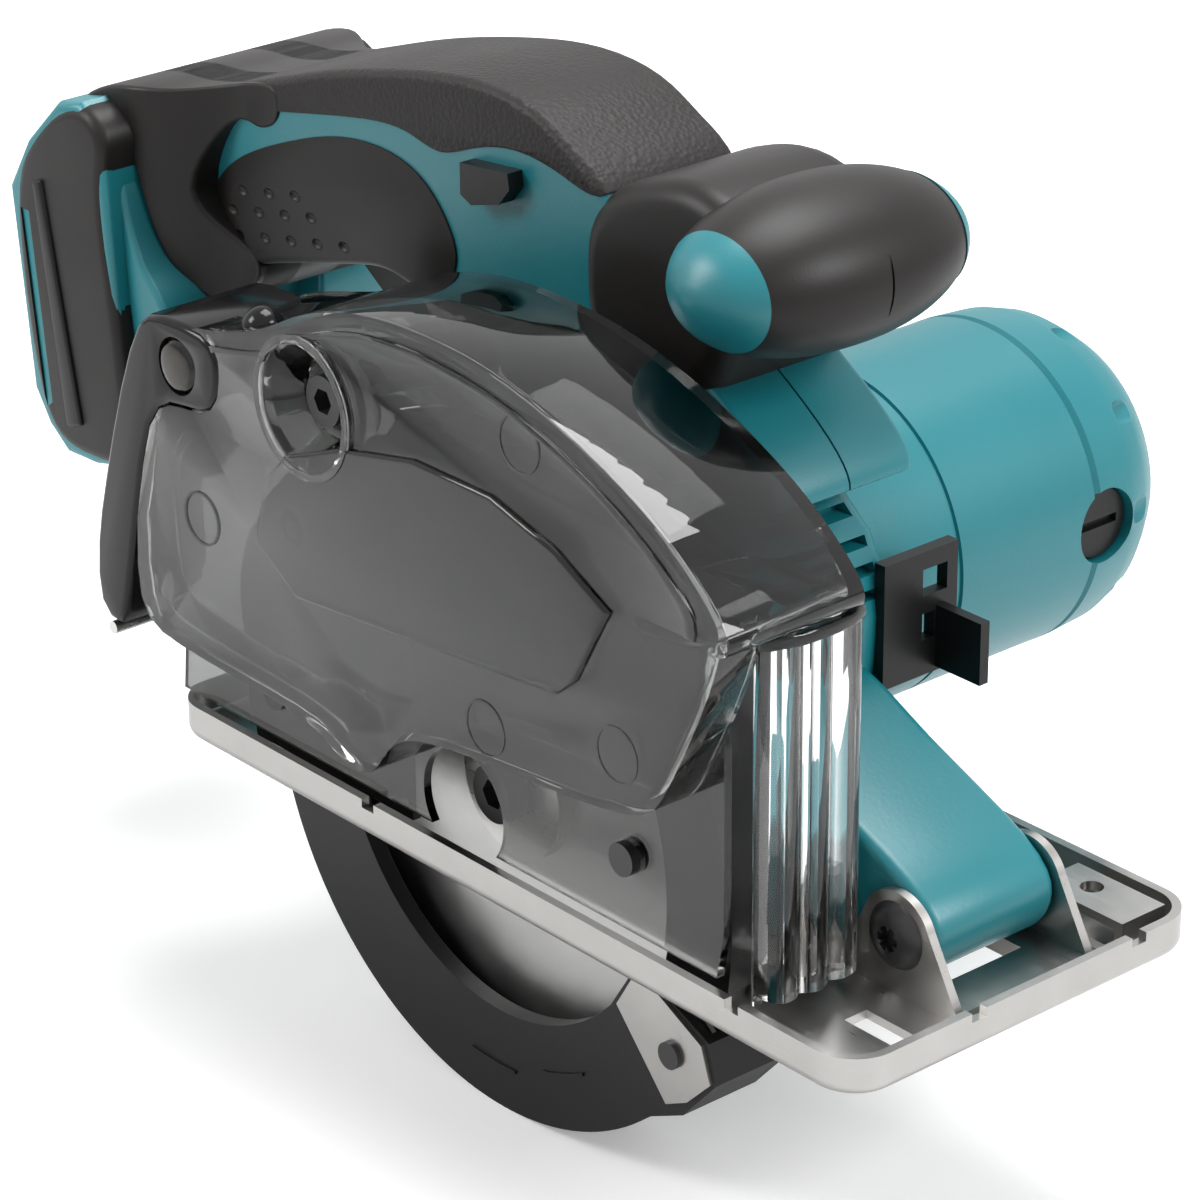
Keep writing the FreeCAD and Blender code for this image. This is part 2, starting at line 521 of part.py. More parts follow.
# ---------------------------------------------------------------- fixed blade case, cover and window
CASE_RADIUS = "guard_radius + case_gap + case_wall"
CASE_FOOT = "base_sheet + 2"
COVER_FOOT = "base_rim + 0.8"
COVER_TOP = 95
SCREWS = ((-62, 21), (52, 26))
SPACERS = SCREWS + ((-52, 62),)
BOX_BACK = "-grip_half - 1.5"
shell = on_arbor(f"{CASE_NEAR} - 2", CASE_RADIUS, f"{CASE_BACK} - ({CASE_NEAR}) + 2")
room = on_arbor(CASE_NEAR, "guard_radius + case_gap", f"{CASE_FAR} - ({CASE_NEAR})")
below = block(-100, "-blade_plane - 30", -100, 200, 60, f"100 + {CASE_FOOT}")
opening = keep(on_arbor(f"{CASE_NEAR} - 3", "guard_radius - 14", 4),
               block(-22, f"{CASE_NEAR} - 4", 0, 100, 6, 120))
chute = block(-32, "-blade_plane - 7", "arbor_up + guard_radius - 8", 36, 14, 24)
bolt_boss = rod(-34, f"{CASE_NEAR} - 2", 99, 5, f"{CASE_BACK} - ({CASE_NEAR}) + 2")
boss_web = block(-36, CASE_FAR, "arbor_up + guard_radius - 6", 4, 2, 10)
boss_foot = block(-38, CASE_FAR, 82, 10, 2, 18)
clamp_x = f"pivot_fore - guide_arc*{math.cos(math.radians(2.5)):.6f}"
clamp_z = f"pivot_up + guide_arc*{math.sin(math.radians(2.5)):.6f}"
node("blade_case", cut(join(cut(shell, room, below, opening, chute), bolt_boss, boss_web, boss_foot),
                       on_arbor(f"{CASE_FAR} - 2", "guard_hub + run_gap", 8),
                       rod(-34, f"{CASE_NEAR} - 3", 99, 2.5, 12),
                       rod(clamp_x, f"{CASE_FAR} - 2", clamp_z, 3, 8),
                       *[rod(x, f"{CASE_NEAR} - 3", z, 1.5, 4) for x, z in SCREWS]))

cover_outline = outline([("-base_rear + 1", COVER_FOOT), (78, COVER_FOOT), (80, 20), (80, 60), (72, 84),
                         (60, COVER_TOP), (-64, COVER_TOP), (-84, 86), (-94, 50)])
cover = slab(cover_outline, "-cover_out", "-cover_out + 2")
spacers = [tube(x, "-cover_out + 2", z, 4, 1.5, f"cover_out - 4 + {CASE_NEAR}")
           for x, z in SPACERS]
node("case_cover", cut(join(cover, *spacers), rod(0, "-cover_out - 1", "arbor_up", "flange_radius - 4", 4),
                       *[rod(x, "-cover_out - 1", z, 1.5, 5) for x, z in SCREWS]))
node("case_screws", group(*[
    join(rod(x, "-cover_out - 2.2", z, 3.6, 2.2), rod(x, "-cover_out - 0.5", z, 1.5, 5.5))
    for x, z in SCREWS]))

window_outer = outline([("window_fore - 12.5", CASE_FOOT), ("window_fore - 2", CASE_FOOT), ("window_fore", 30),
                        ("window_fore", 62), ("window_fore - 4", "window_top"),
                        ("window_fore - 12.5", "window_top")])
window_inner = outline([("window_fore - 20", f"{CASE_FOOT} + 2.5"), ("window_fore - 4.5", f"{CASE_FOOT} + 2.5"),
                        ("window_fore - 2.5", 30), ("window_fore - 2.5", 62),
                        ("window_fore - 6.3", "window_top - 2.5"), ("window_fore - 20", "window_top - 2.5")])
node("front_window", cut(slab(window_outer, f"{CASE_NEAR} - 2", f"{CASE_FAR} - 2"),
                         slab(window_inner, f"{CASE_NEAR} + 0.5", f"{CASE_FAR} - 4.5")))

# ---------------------------------------------------------------- dust box
panel_outline = outline([("-101", "33"), ("-88", "28"), ("-36", "28"), ("-22", "22"), ("-13", "25"), ("-6", "34"),
                         ("7", "37"), ("72", "44"), ("95", "92"), ("76", "107"), ("52", "119"), ("24", "126"),
                         ("-4", "126"), ("-36", "119"), ("-73", "107"), ("-88", "100")])
hood_outline = outline([("-88", "100"), ("-91", "86"), ("-40", "80"), ("60", "80"), ("80", "window_top + 1"),
                        ("92", "window_top + 1"), ("95", "92"), ("76", "107"), ("52", "119"), ("24", "126"),
                        ("-4", "126"), ("-36", "119"), ("-73", "107")])
box_solid = join(slab(panel_outline, "-box_out", "-cover_out - 0.5"), slab(hood_outline, "-box_out", BOX_BACK))
box_room = join(slab(inset(panel_outline, "box_wall"), "-box_out + box_wall", "-cover_out - 2.3"),
                slab(inset(hood_outline, "box_wall"), "-box_out + box_wall", f"{BOX_BACK} - box_wall"))
clear_case = on_arbor("-cover_out - 0.5", f"{CASE_RADIUS} + chip_gap", 60)
clear_lid = block(-130, "-cover_out - 0.5", 0, 260, 3.2, f"{COVER_TOP} + chip_gap")
room_case = on_arbor("-cover_out - 2.5", f"{CASE_RADIUS} + chip_gap + box_wall", 60)
room_lid = block(-130, "-cover_out - 2.3", 0, 260, 7, f"{COVER_TOP} + chip_gap + box_wall")
box_shell = cut(box_solid, clear_case, clear_lid)
box_hollow = cut(box_room, room_case, room_lid)
inlet = block(-28, "-blade_plane - 6", 85, 30, 8, 16)
recess = doc.addObject("Part::Cone", "Recess")
bind(recess, Radius1=13, Radius2=7, Height=9)
place(recess, -34, "-box_out - 0.5", 99, ALONG["Y"])
recess_wall = doc.addObject("Part::Cone", "RecessWall")
bind(recess_wall, Radius1=14.5, Radius2=8.5, Height=10)
place(recess_wall, -34, "-box_out", 99, ALONG["Y"])
boss_clear = rod(-34, "-cover_out - 0.4", 99, "5 + part_gap", 60)
bolt_hole = rod(-34, "-box_out", 99, 2.8, 14)
latch_hole = rod(-78, "-box_out - 1", 91, 5.1, 4)
HINGE = (-108, 24)
DOOR_BACK = "-battery_half - 2.5"
DOOR_NEAR = "-box_out + 2.3"
hinge_lug = slab(outline([("-96", "36"), ("-96", "29"), ("-107", "20.8"), ("-111.2", "24"), ("-107", "27.2"),
                          ("-101", "36")]), "-box_out", "-box_out + 2")
pin_bore = rod(HINGE[0], "-box_out - 1", HINGE[1], 1.5, 5)
node("dust_box", cut(join(cut(box_shell, box_hollow), keep(box_solid, recess_wall), hinge_lug),
                     recess, boss_clear, bolt_hole, inlet, latch_hole, pin_bore))
BOLT_SEAT = "-box_out + 8.5"
box_bolt_head = rod(-34, f"{BOLT_SEAT} - 4", 99, 5.5, 4)
box_bolt_shank = rod(-34, BOLT_SEAT, 99, 2.5, f"{CASE_NEAR} + 6 - ({BOLT_SEAT})")
box_socket = doc.addObject("Part::Prism", "BoxSocket")
bind(box_socket, Polygon=6, Circumradius=2.9, Height=3)
place(box_socket, -34, f"{BOLT_SEAT} - 4.1", 99, ALONG["Y"])
node("dust_box_bolt", cut(join(box_bolt_head, box_bolt_shank), box_socket))

door_outer = outline([("-101.6", "30"), ("-88.6", "100"), ("-92", "103"), ("-104", "76"), ("-113", "46"),
                      ("-113", "27"), ("-104", "24")])
door = cut(slab(door_outer, DOOR_NEAR, DOOR_BACK),
           slab(outline([("-99", "32"), ("-86", "98"), ("-91", "98"), ("-102", "74"), ("-110.5", "45"),
                         ("-110.5", "34")]), f"{DOOR_NEAR} + 2.5", f"{DOOR_BACK} - 2.5"))
knuckle = rod(HINGE[0], DOOR_NEAR, HINGE[1], 3.2, f"{DOOR_BACK} - 2 - ({DOOR_NEAR})")
node("chip_door", cut(join(door, knuckle), rod(HINGE[0], "-box_out - 1", HINGE[1], "1.5 + run_gap", 40)))
node("hinge_pin", rod(HINGE[0], "-box_out", HINGE[1], 1.5, f"{DOOR_BACK} + box_out - 1"))
node("latch_button", rod(-78, "-box_out - 1.5", 91, 5, 3))

# ---------------------------------------------------------------- base
SLOT_NEAR = "-blade_plane - guard_half - case_gap - 2.2"
SLOT_FAR = "-blade_plane + guard_half + case_gap + 2.5"


def make_base():
    """A pressed tray: a rounded pad, hollowed from above, with the blade slot and the fence slots cut."""
    body = doc.addObject("PartDesign::Body", "BaseBody")
    floor = [f for f in body.Origin.OriginFeatures if f.Role == "XY_Plane"][0]

    def rectangle(name, x1, y1, x2, y2):
        sketch = body.newObject("Sketcher::SketchObject", name)
        sketch.AttachmentSupport, sketch.MapMode = [(floor, "")], "FlatFace"
        return draw(sketch, [(x1, y1), (x2, y1), (x2, y2), (x1, y2)])

    def through(name, x1, y1, x2, y2):
        pocket = body.newObject("PartDesign::Pocket", name)
        pocket.Profile, pocket.SideType = rectangle(name + "Outline", x1, y1, x2, y2), "Symmetric"
        return bind(pocket, Length="base_sheet*3")

    tray = body.newObject("PartDesign::Pad", "Tray")
    tray.Profile = rectangle("TrayOutline", "-base_rear", "-base_right", "base_fore", "base_left")
    bind(tray, Length="base_rim")
    doc.recompute()
    corners = [f"Edge{i}" for i, e in enumerate(tray.Shape.Edges, 1) if along(Vector(0, 0, 1))(e)]
    round_corners = body.newObject("PartDesign::Fillet", "Corners")
    round_corners.Base = (tray, corners)
    bind(round_corners, Radius="base_corner")
    doc.recompute()
    bottom = [f"Edge{i}" for i, e in enumerate(round_corners.Shape.Edges, 1) if on_plane("Z", "0")(e)]
    bend = body.newObject("PartDesign::Fillet", "Bend")
    bend.Base = (round_corners, bottom)
    bind(bend, Radius="base_sheet + 0.6")
    doc.recompute()
    top = [f"Face{i}" for i, f in enumerate(bend.Shape.Faces, 1)
           if abs(f.BoundBox.ZMin - value("base_rim")) < 1e-4]
    hollow = body.newObject("PartDesign::Thickness", "Hollow")
    hollow.Base, hollow.Reversed = (bend, top), True
    bind(hollow, Value="base_sheet")
    through("BladeSlot", "-guard_radius - 4", SLOT_NEAR, "blade_radius + 5", SLOT_FAR)
    through("SideSlot", "-50", "-24", "36", "-4")
    through("RightFence", "pivot_fore + 1", "-44", "pivot_fore + 14", "-38")
    through("LeftFence", "pivot_fore + 1", "13.5", "pivot_fore + 14", "16")
    body.Tip = through("FrontHole", "pivot_fore - 14", "-20", "pivot_fore + 6", "0")
    return body


notch_tools = [block("base_fore - 3", y, "base_rim - 2", 6, 4, 4) for y in ("-32", "13")]
notch_tools += [block(x, "-base_right - 1", "base_rim - 2", 4, 4, 4) for x in ("-30", "84")]
node("base_plate", cut(make_base(), *notch_tools))

EAR_RIGHT = "-arm_right - ear_gap"
EAR_LEFT = "arm_left + ear_gap"
ear_outline = outline([("pivot_fore - 17", "base_sheet"), ("pivot_fore + 17", "base_sheet"),
                       ("pivot_fore + 17", "base_sheet + 2"), ("pivot_fore + 8", "pivot_up + 5"),
                       ("pivot_fore", "pivot_up + 9"), ("pivot_fore - 8", "pivot_up + 5")])
ears = [join(slab(ear_outline, f"{EAR_RIGHT} - 2", EAR_RIGHT),
             rod("pivot_fore", f"{EAR_RIGHT} - 2", "pivot_up", "arm_radius - 1", 2)),
        join(slab(ear_outline, EAR_LEFT, f"{EAR_LEFT} + 2"),
             rod("pivot_fore", EAR_LEFT, "pivot_up", "arm_radius - 1", 2))]
foot = block("pivot_fore - 17", f"{EAR_RIGHT} - 2", "base_sheet", 34, f"arm_right + arm_left + ear_gap*2 + 4", 2)
foot_hole = block("pivot_fore - 14", "-20", 0, 20, 20, 20)
node("hinge_bracket", cut(join(*ears, foot), foot_hole,
                          rod("pivot_fore", "-arm_right - 10", "pivot_up", "bolt_radius", 60)))
node("pivot_screws", group(
    join(rod("pivot_fore", f"{EAR_RIGHT} - 4.7", "pivot_up", 5.5, 2.7),
         rod("pivot_fore", f"{EAR_RIGHT} - 2.5", "pivot_up", "bolt_radius", 12)),
    join(rod("pivot_fore", f"{EAR_LEFT} + 2", "pivot_up", 5.5, 2.7),
         rod("pivot_fore", f"{EAR_LEFT} - 9.5", "pivot_up", "bolt_radius", 12))))

GUIDE_TOP = "base_rim - 1.6"
GUIDE_LONG = "base_fore - base_sheet - 3 - pivot_fore + 5"
GUIDE_WIDE = 12.5
guide_right = "arm_left + ear_gap + 8"
bridge = join(block("pivot_fore - 5", guide_right, GUIDE_TOP, GUIDE_LONG, GUIDE_WIDE, 2),
              block("pivot_fore - 5", guide_right, "base_sheet", 2, GUIDE_WIDE, f"{GUIDE_TOP} - base_sheet"),
              block("base_fore - base_sheet - 5", guide_right, "base_sheet", 2, GUIDE_WIDE, f"{GUIDE_TOP} - base_sheet"))
node("guide_plate", cut(bridge, rod("pivot_fore + 4", f"{guide_right} + 7", 0, 2.5, 20, "Z")))

GUIDE_FAR = f"{CASE_BACK} + 3"


def arc_point(radius, angle):
    """A point on an arc about the base pivot, behind it."""
    lean = math.radians(angle)
    return (f"pivot_fore - ({radius})*{math.cos(lean):.6f}", f"pivot_up + ({radius})*{math.sin(lean):.6f}")


def arc_band(inner, outer, first, last, start, end):
    """A curved strip about the base pivot."""
    ring = tube("pivot_fore", start, "pivot_up", outer, inner, f"({end}) - ({start})")
    sector = outline([("pivot_fore", "pivot_up"), arc_point(400, first), arc_point(400, last)])
    return keep(ring, slab(sector, f"{start} - 1", f"{end} + 1"))


strip = arc_band("guide_arc - guide_wide/2", "guide_arc + guide_wide/2", -4.3, 29, f"{GUIDE_FAR} - 2", GUIDE_FAR)
track = arc_band("guide_arc - guide_slot/2", "guide_arc + guide_slot/2", 1.1, 26.5, f"{GUIDE_FAR} - 3",
                 f"{GUIDE_FAR} + 1")
strip_foot = block("pivot_fore - guide_arc - guide_wide/2 + 2", f"{GUIDE_FAR} - 2", "base_sheet", "guide_wide - 4", 9, 2)
node("depth_guide", join(cut(strip, track, block(-100, -60, -60, 200, 90, "60 + base_sheet")), strip_foot))
node("depth_bolt", join(rod(clamp_x, f"{CASE_FAR} + 0.2", clamp_z, 3, f"{GUIDE_FAR} - ({CASE_FAR}) + 7"),
                        rod(clamp_x, CASE_BACK, clamp_z, 6, 0.8)))
lever_hub = rod(clamp_x, f"{GUIDE_FAR} + 0.3", clamp_z, 6.5, 6)
lever_arm = block(f"{clamp_x} - 34", f"{GUIDE_FAR} + 0.8", f"{clamp_z} - 3.5", 34, 4.5, 7)
node("depth_lever", cut(join(lever_hub, lever_arm), rod(clamp_x, GUIDE_FAR, clamp_z, "3 + run_gap", 12)))

# ---------------------------------------------------------------- handle and battery mount
handle_points = [(-150, 128), (-139, 129), (-128, 132.5), (-110, 138.5), (-92, 144.5), (-64, 151), (-44, 154),
                 (-25, 152.5), (-14, 146), (-2, 141), (6, 120), (28, 108), (46, 96), (52, 88), (49, HOUSING_TOP),
                 (-36, HOUSING_TOP), (-46, 93), (-58, 101), (-70, 103), (-78, 104.5), (-96, 99.5), (-114, 95),
                 (-132, 89), (-143, 78), (-148, 60), (-148, 42), (-160, 39), (-162, 80), (-160, 124)]
handle_outline = outline([(str(x), str(z)) for x, z in handle_points])
mount_outline = outline([("-187", "99"), ("-182", "48"), ("-170", "36.5"), ("-160", "38"), ("-158", "80"),
                         ("-158", "123"), ("-166", "124")])
whole = join(slab(handle_outline, "-handle_half", "handle_half"),
             slab(mount_outline, "-battery_half", "battery_half"))
room = join(slab(inset(handle_outline, "skin + shell"), "-handle_half + skin + shell", "handle_half - skin - shell"),
            slab(inset(mount_outline, "shell"), "-battery_half + shell", "battery_half - shell"))
core = slab(inset(handle_outline, "skin"), "-handle_half + skin", "handle_half - skin")
grip_outline = outline([("-150", "124"), ("-139", "125"), ("-124", "128"), ("-100", "133"), ("-80", "137"),
                        ("-66", "138"), ("-56", "134"), ("-44", "140"), ("-30", "143"), ("-16", "141"), ("-4", "137"),
                        ("4", "146"), ("-20", "160"), ("-60", "158"), ("-100", "148"), ("-150", "134")])
pad_outline = outline([("-142", "103"), ("-127", "116"), ("-108", "124"), ("-90", "131"), ("-69", "132"),
                       ("-56", "127"), ("-50", "121"), ("-51", "114"), ("-62", "107"), ("-67", "99"), ("-78", "101"),
                       ("-96", "96"), ("-114", "91"), ("-132", "85")])
band_outline = outline([("-150", "127"), ("-140", "123"), ("-134", "112"), ("-136", "92"), ("-144", "78"),
                        ("-149", "60"), ("-149", "43"), ("-157", "41"), ("-157", "123")])
grip_zone = slab(grip_outline, "-handle_half - 1", "handle_half + 1")
pad_zones = [slab(pad_outline, "-handle_half - 1", "-handle_half + skin"),
             slab(pad_outline, "handle_half - skin", "handle_half + 1")]
neck_points = [(-9, 108), (-9, 131), (-3, 142), (10, 146), (24, 150), (44, 140), (34, 118), (28, 107), (10, 105)]
neck_outline = outline([(str(x), str(z)) for x, z in neck_points])
front_zone = slab(neck_outline, "-neck_half - 1", "neck_half + 1")
lever_window = block(-45, "-handle_half - 1", 125, 17, "handle_half*2 + 2", 14)
trigger_window = block(-100, -7.5, 84, 31, 15, 30)
terminal_window = block(-192, -16, 56, 14, 32, 36)
outer_form = cut(whole, front_zone, lever_window, trigger_window)
motor_saddle = on_motor("motor_start - 0.2", "motor_radius + part_gap", 40)
teal_form = cut(outer_form, room, cut(keep(grip_zone, whole), core), *pad_zones, terminal_window, motor_saddle)
right_half = block(-300, -100, -10, 600, 100, 300)
left_half = block(-300, 0, -10, 600, 100, 300)
node("handle_right", keep(teal_form, right_half))
grip_form = cut(keep(outer_form, grip_zone), core)
node("grip_cover_right", keep(grip_form, right_half))
node("grip_cover_left", keep(grip_form, left_half))
pad_solids = [keep(cut(outer_form, grip_zone), zone) for zone in pad_zones]
node("palm_pads", group(*pad_solids))
bands = [slab(band_outline, "-handle_half - 12", "-handle_half"),
         slab(band_outline, "handle_half", "handle_half + 12")]
node("rear_grips", group(*bands))

bulb_profile = [("0", "-grip_half")] + [
    (f"grip_bulb*{math.cos(math.radians(angle)) ** 0.7:.6f}", f"grip_half*{math.sin(math.radians(angle)):.6f}")
    for angle in range(-75, 90, 15)] + [("0", "grip_half")]


def make_bulb():
    """The cross grip, turned about an axis that runs sideways."""
    body = doc.addObject("PartDesign::Body", "BulbBody")
    flat = [f for f in body.Origin.OriginFeatures if f.Role == "XY_Plane"][0]
    sketch = body.newObject("Sketcher::SketchObject", "BulbOutline")
    sketch.AttachmentSupport, sketch.MapMode = [(flat, "")], "FlatFace"
    draw(sketch, bulb_profile)
    turned = body.newObject("PartDesign::Revolution", "Bulb")
    turned.Profile, turned.ReferenceAxis, turned.Angle = sketch, (sketch, ["V_Axis"]), 360
    return place(body, 41, 0, 133.5)


neck = slab(neck_outline, "-neck_half", "neck_half")
neck_room = slab(inset(neck_outline, "shell"), "-neck_half + shell", "neck_half - shell")
bulb_room = rod(41, "-grip_half + 10", 133.5, "grip_bulb - 6", "grip_half*2 - 20")
inlay_tools = [rod(41, "-grip_half - 1", 133.5, 7, 4), rod(41, "grip_half - 3", 133.5, 7, 4)]
front_form = cut(join(neck, make_bulb()), join(neck_room, bulb_room), *inlay_tools)
node("front_grip_right", keep(front_form, right_half))
node("front_grip_left", keep(front_form, left_half))
node("grip_inlays", group(rod(41, "-grip_half", 133.5, 7, 3), rod(41, "grip_half - 3", 133.5, 7, 3)))

rail_outline = outline([("-187", "102"), ("-184", "102"), ("-176.5", "44"), ("-179.5", "44"), ("-183.5", "49"),
                        ("-188.5", "98")])
node("battery_rails", group(slab(rail_outline, "-battery_half - 1.6", "-battery_half"),
                            slab(rail_outline, "battery_half", "battery_half + 1.6")))
node("terminal_block", join(block(-184, -16, 56, 6, 32, 36), block(-178, -18.5, 53.5, 3, 37, 41),
                            *[block(-189, y, 62, 5, 1.2, 12) for y in (-11, 9.8)]))
node("switch_unit", block(-98, -8, 114.2, 34, 16, 18))
trigger_outline = outline([("-98", "108.5"), ("-72", "108.5"), ("-71", "96"), ("-76", "88"), ("-88", "90"),
                           ("-97", "96")])
node("trigger", slab(trigger_outline, -7.2, 7.2))
lever_outline = outline([("-44.5", "137"), ("-44.5", "130"), ("-41", "128.5"), ("-32", "131"), ("-28.5", "135"),
                         ("-29", "138.5")])
node("lock_off_lever", slab(lever_outline, "-handle_half - 4", "handle_half + 4"))
screw_places = [(-166, 114), (-166, 50), (-36, 112), (2, 96), (34, 90)]
housing_screws = group(*[
    join(rod(x, "battery_half - 6" if x < -150 else "handle_half - 2.6", z, 3, 1.6),
         rod(x, "battery_half - 24" if x < -150 else "handle_half - 20", z, 1.5, 18))
    for x, z in screw_places])
node("housing_screws", housing_screws)
node("handle_left", cut(keep(teal_form, left_half), housing_screws))


# ---------------------------------------------------------------- checks and files
doc.recompute()
for thing in doc.Objects:
    if {"Invalid", "Error"} & set(thing.State):
        raise RuntimeError(f"{thing.Name} ({thing.Label}) failed: {thing.State}")
for label, solid in NODES.items():
    if solid.Shape.isNull() or not solid.Shape.isValid() or not solid.Shape.Solids:
        raise RuntimeError(f"{label} has no valid solid")
os.makedirs("parts", exist_ok=True)
for label, solid in NODES.items():
    solid.Shape.exportStep(f"parts/{label}.step")
print(f"{len(NODES)} sub-parts")
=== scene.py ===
"""A cordless metal-cutting circular saw without its battery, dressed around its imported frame."""
import json
import logging
import math
from dataclasses import dataclass
from enum import Enum

import bmesh
import bpy
from mathutils import Matrix, Vector


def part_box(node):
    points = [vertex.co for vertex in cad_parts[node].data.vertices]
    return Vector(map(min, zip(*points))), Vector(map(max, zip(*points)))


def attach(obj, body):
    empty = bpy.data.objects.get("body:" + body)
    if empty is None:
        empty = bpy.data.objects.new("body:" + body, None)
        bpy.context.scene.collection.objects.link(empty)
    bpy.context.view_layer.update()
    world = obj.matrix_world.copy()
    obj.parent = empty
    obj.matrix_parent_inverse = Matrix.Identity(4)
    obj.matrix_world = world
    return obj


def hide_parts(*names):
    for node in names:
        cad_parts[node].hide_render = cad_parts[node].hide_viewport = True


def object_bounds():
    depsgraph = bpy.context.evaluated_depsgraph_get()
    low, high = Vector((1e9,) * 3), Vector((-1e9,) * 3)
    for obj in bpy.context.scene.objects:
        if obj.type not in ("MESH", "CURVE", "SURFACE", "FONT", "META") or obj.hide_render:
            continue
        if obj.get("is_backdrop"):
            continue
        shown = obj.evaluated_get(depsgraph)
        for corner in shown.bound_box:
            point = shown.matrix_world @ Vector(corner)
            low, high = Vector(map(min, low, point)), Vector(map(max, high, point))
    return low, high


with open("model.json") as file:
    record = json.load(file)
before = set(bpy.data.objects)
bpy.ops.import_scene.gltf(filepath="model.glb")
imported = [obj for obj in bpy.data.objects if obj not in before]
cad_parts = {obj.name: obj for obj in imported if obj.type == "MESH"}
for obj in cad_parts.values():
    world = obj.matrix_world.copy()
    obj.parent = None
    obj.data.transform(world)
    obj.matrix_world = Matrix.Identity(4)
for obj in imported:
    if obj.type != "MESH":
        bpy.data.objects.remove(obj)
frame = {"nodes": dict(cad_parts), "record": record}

LOG = logging.getLogger("saw")
MM = 0.001
Point = tuple[float, ...]
Colour = tuple[float, float, float]


class Axis(Enum):
    """The direction that a shape is drawn along or spun about."""

    X = Vector((1, 0, 0))
    Y = Vector((0, 1, 0))
    Z = Vector((0, 0, 1))


class Joining(Enum):
    """How two closed shapes are combined."""

    CUT = "DIFFERENCE"
    KEEP = "INTERSECT"
    ADD = "UNION"


# ---------------------------------------------------------------- finishes


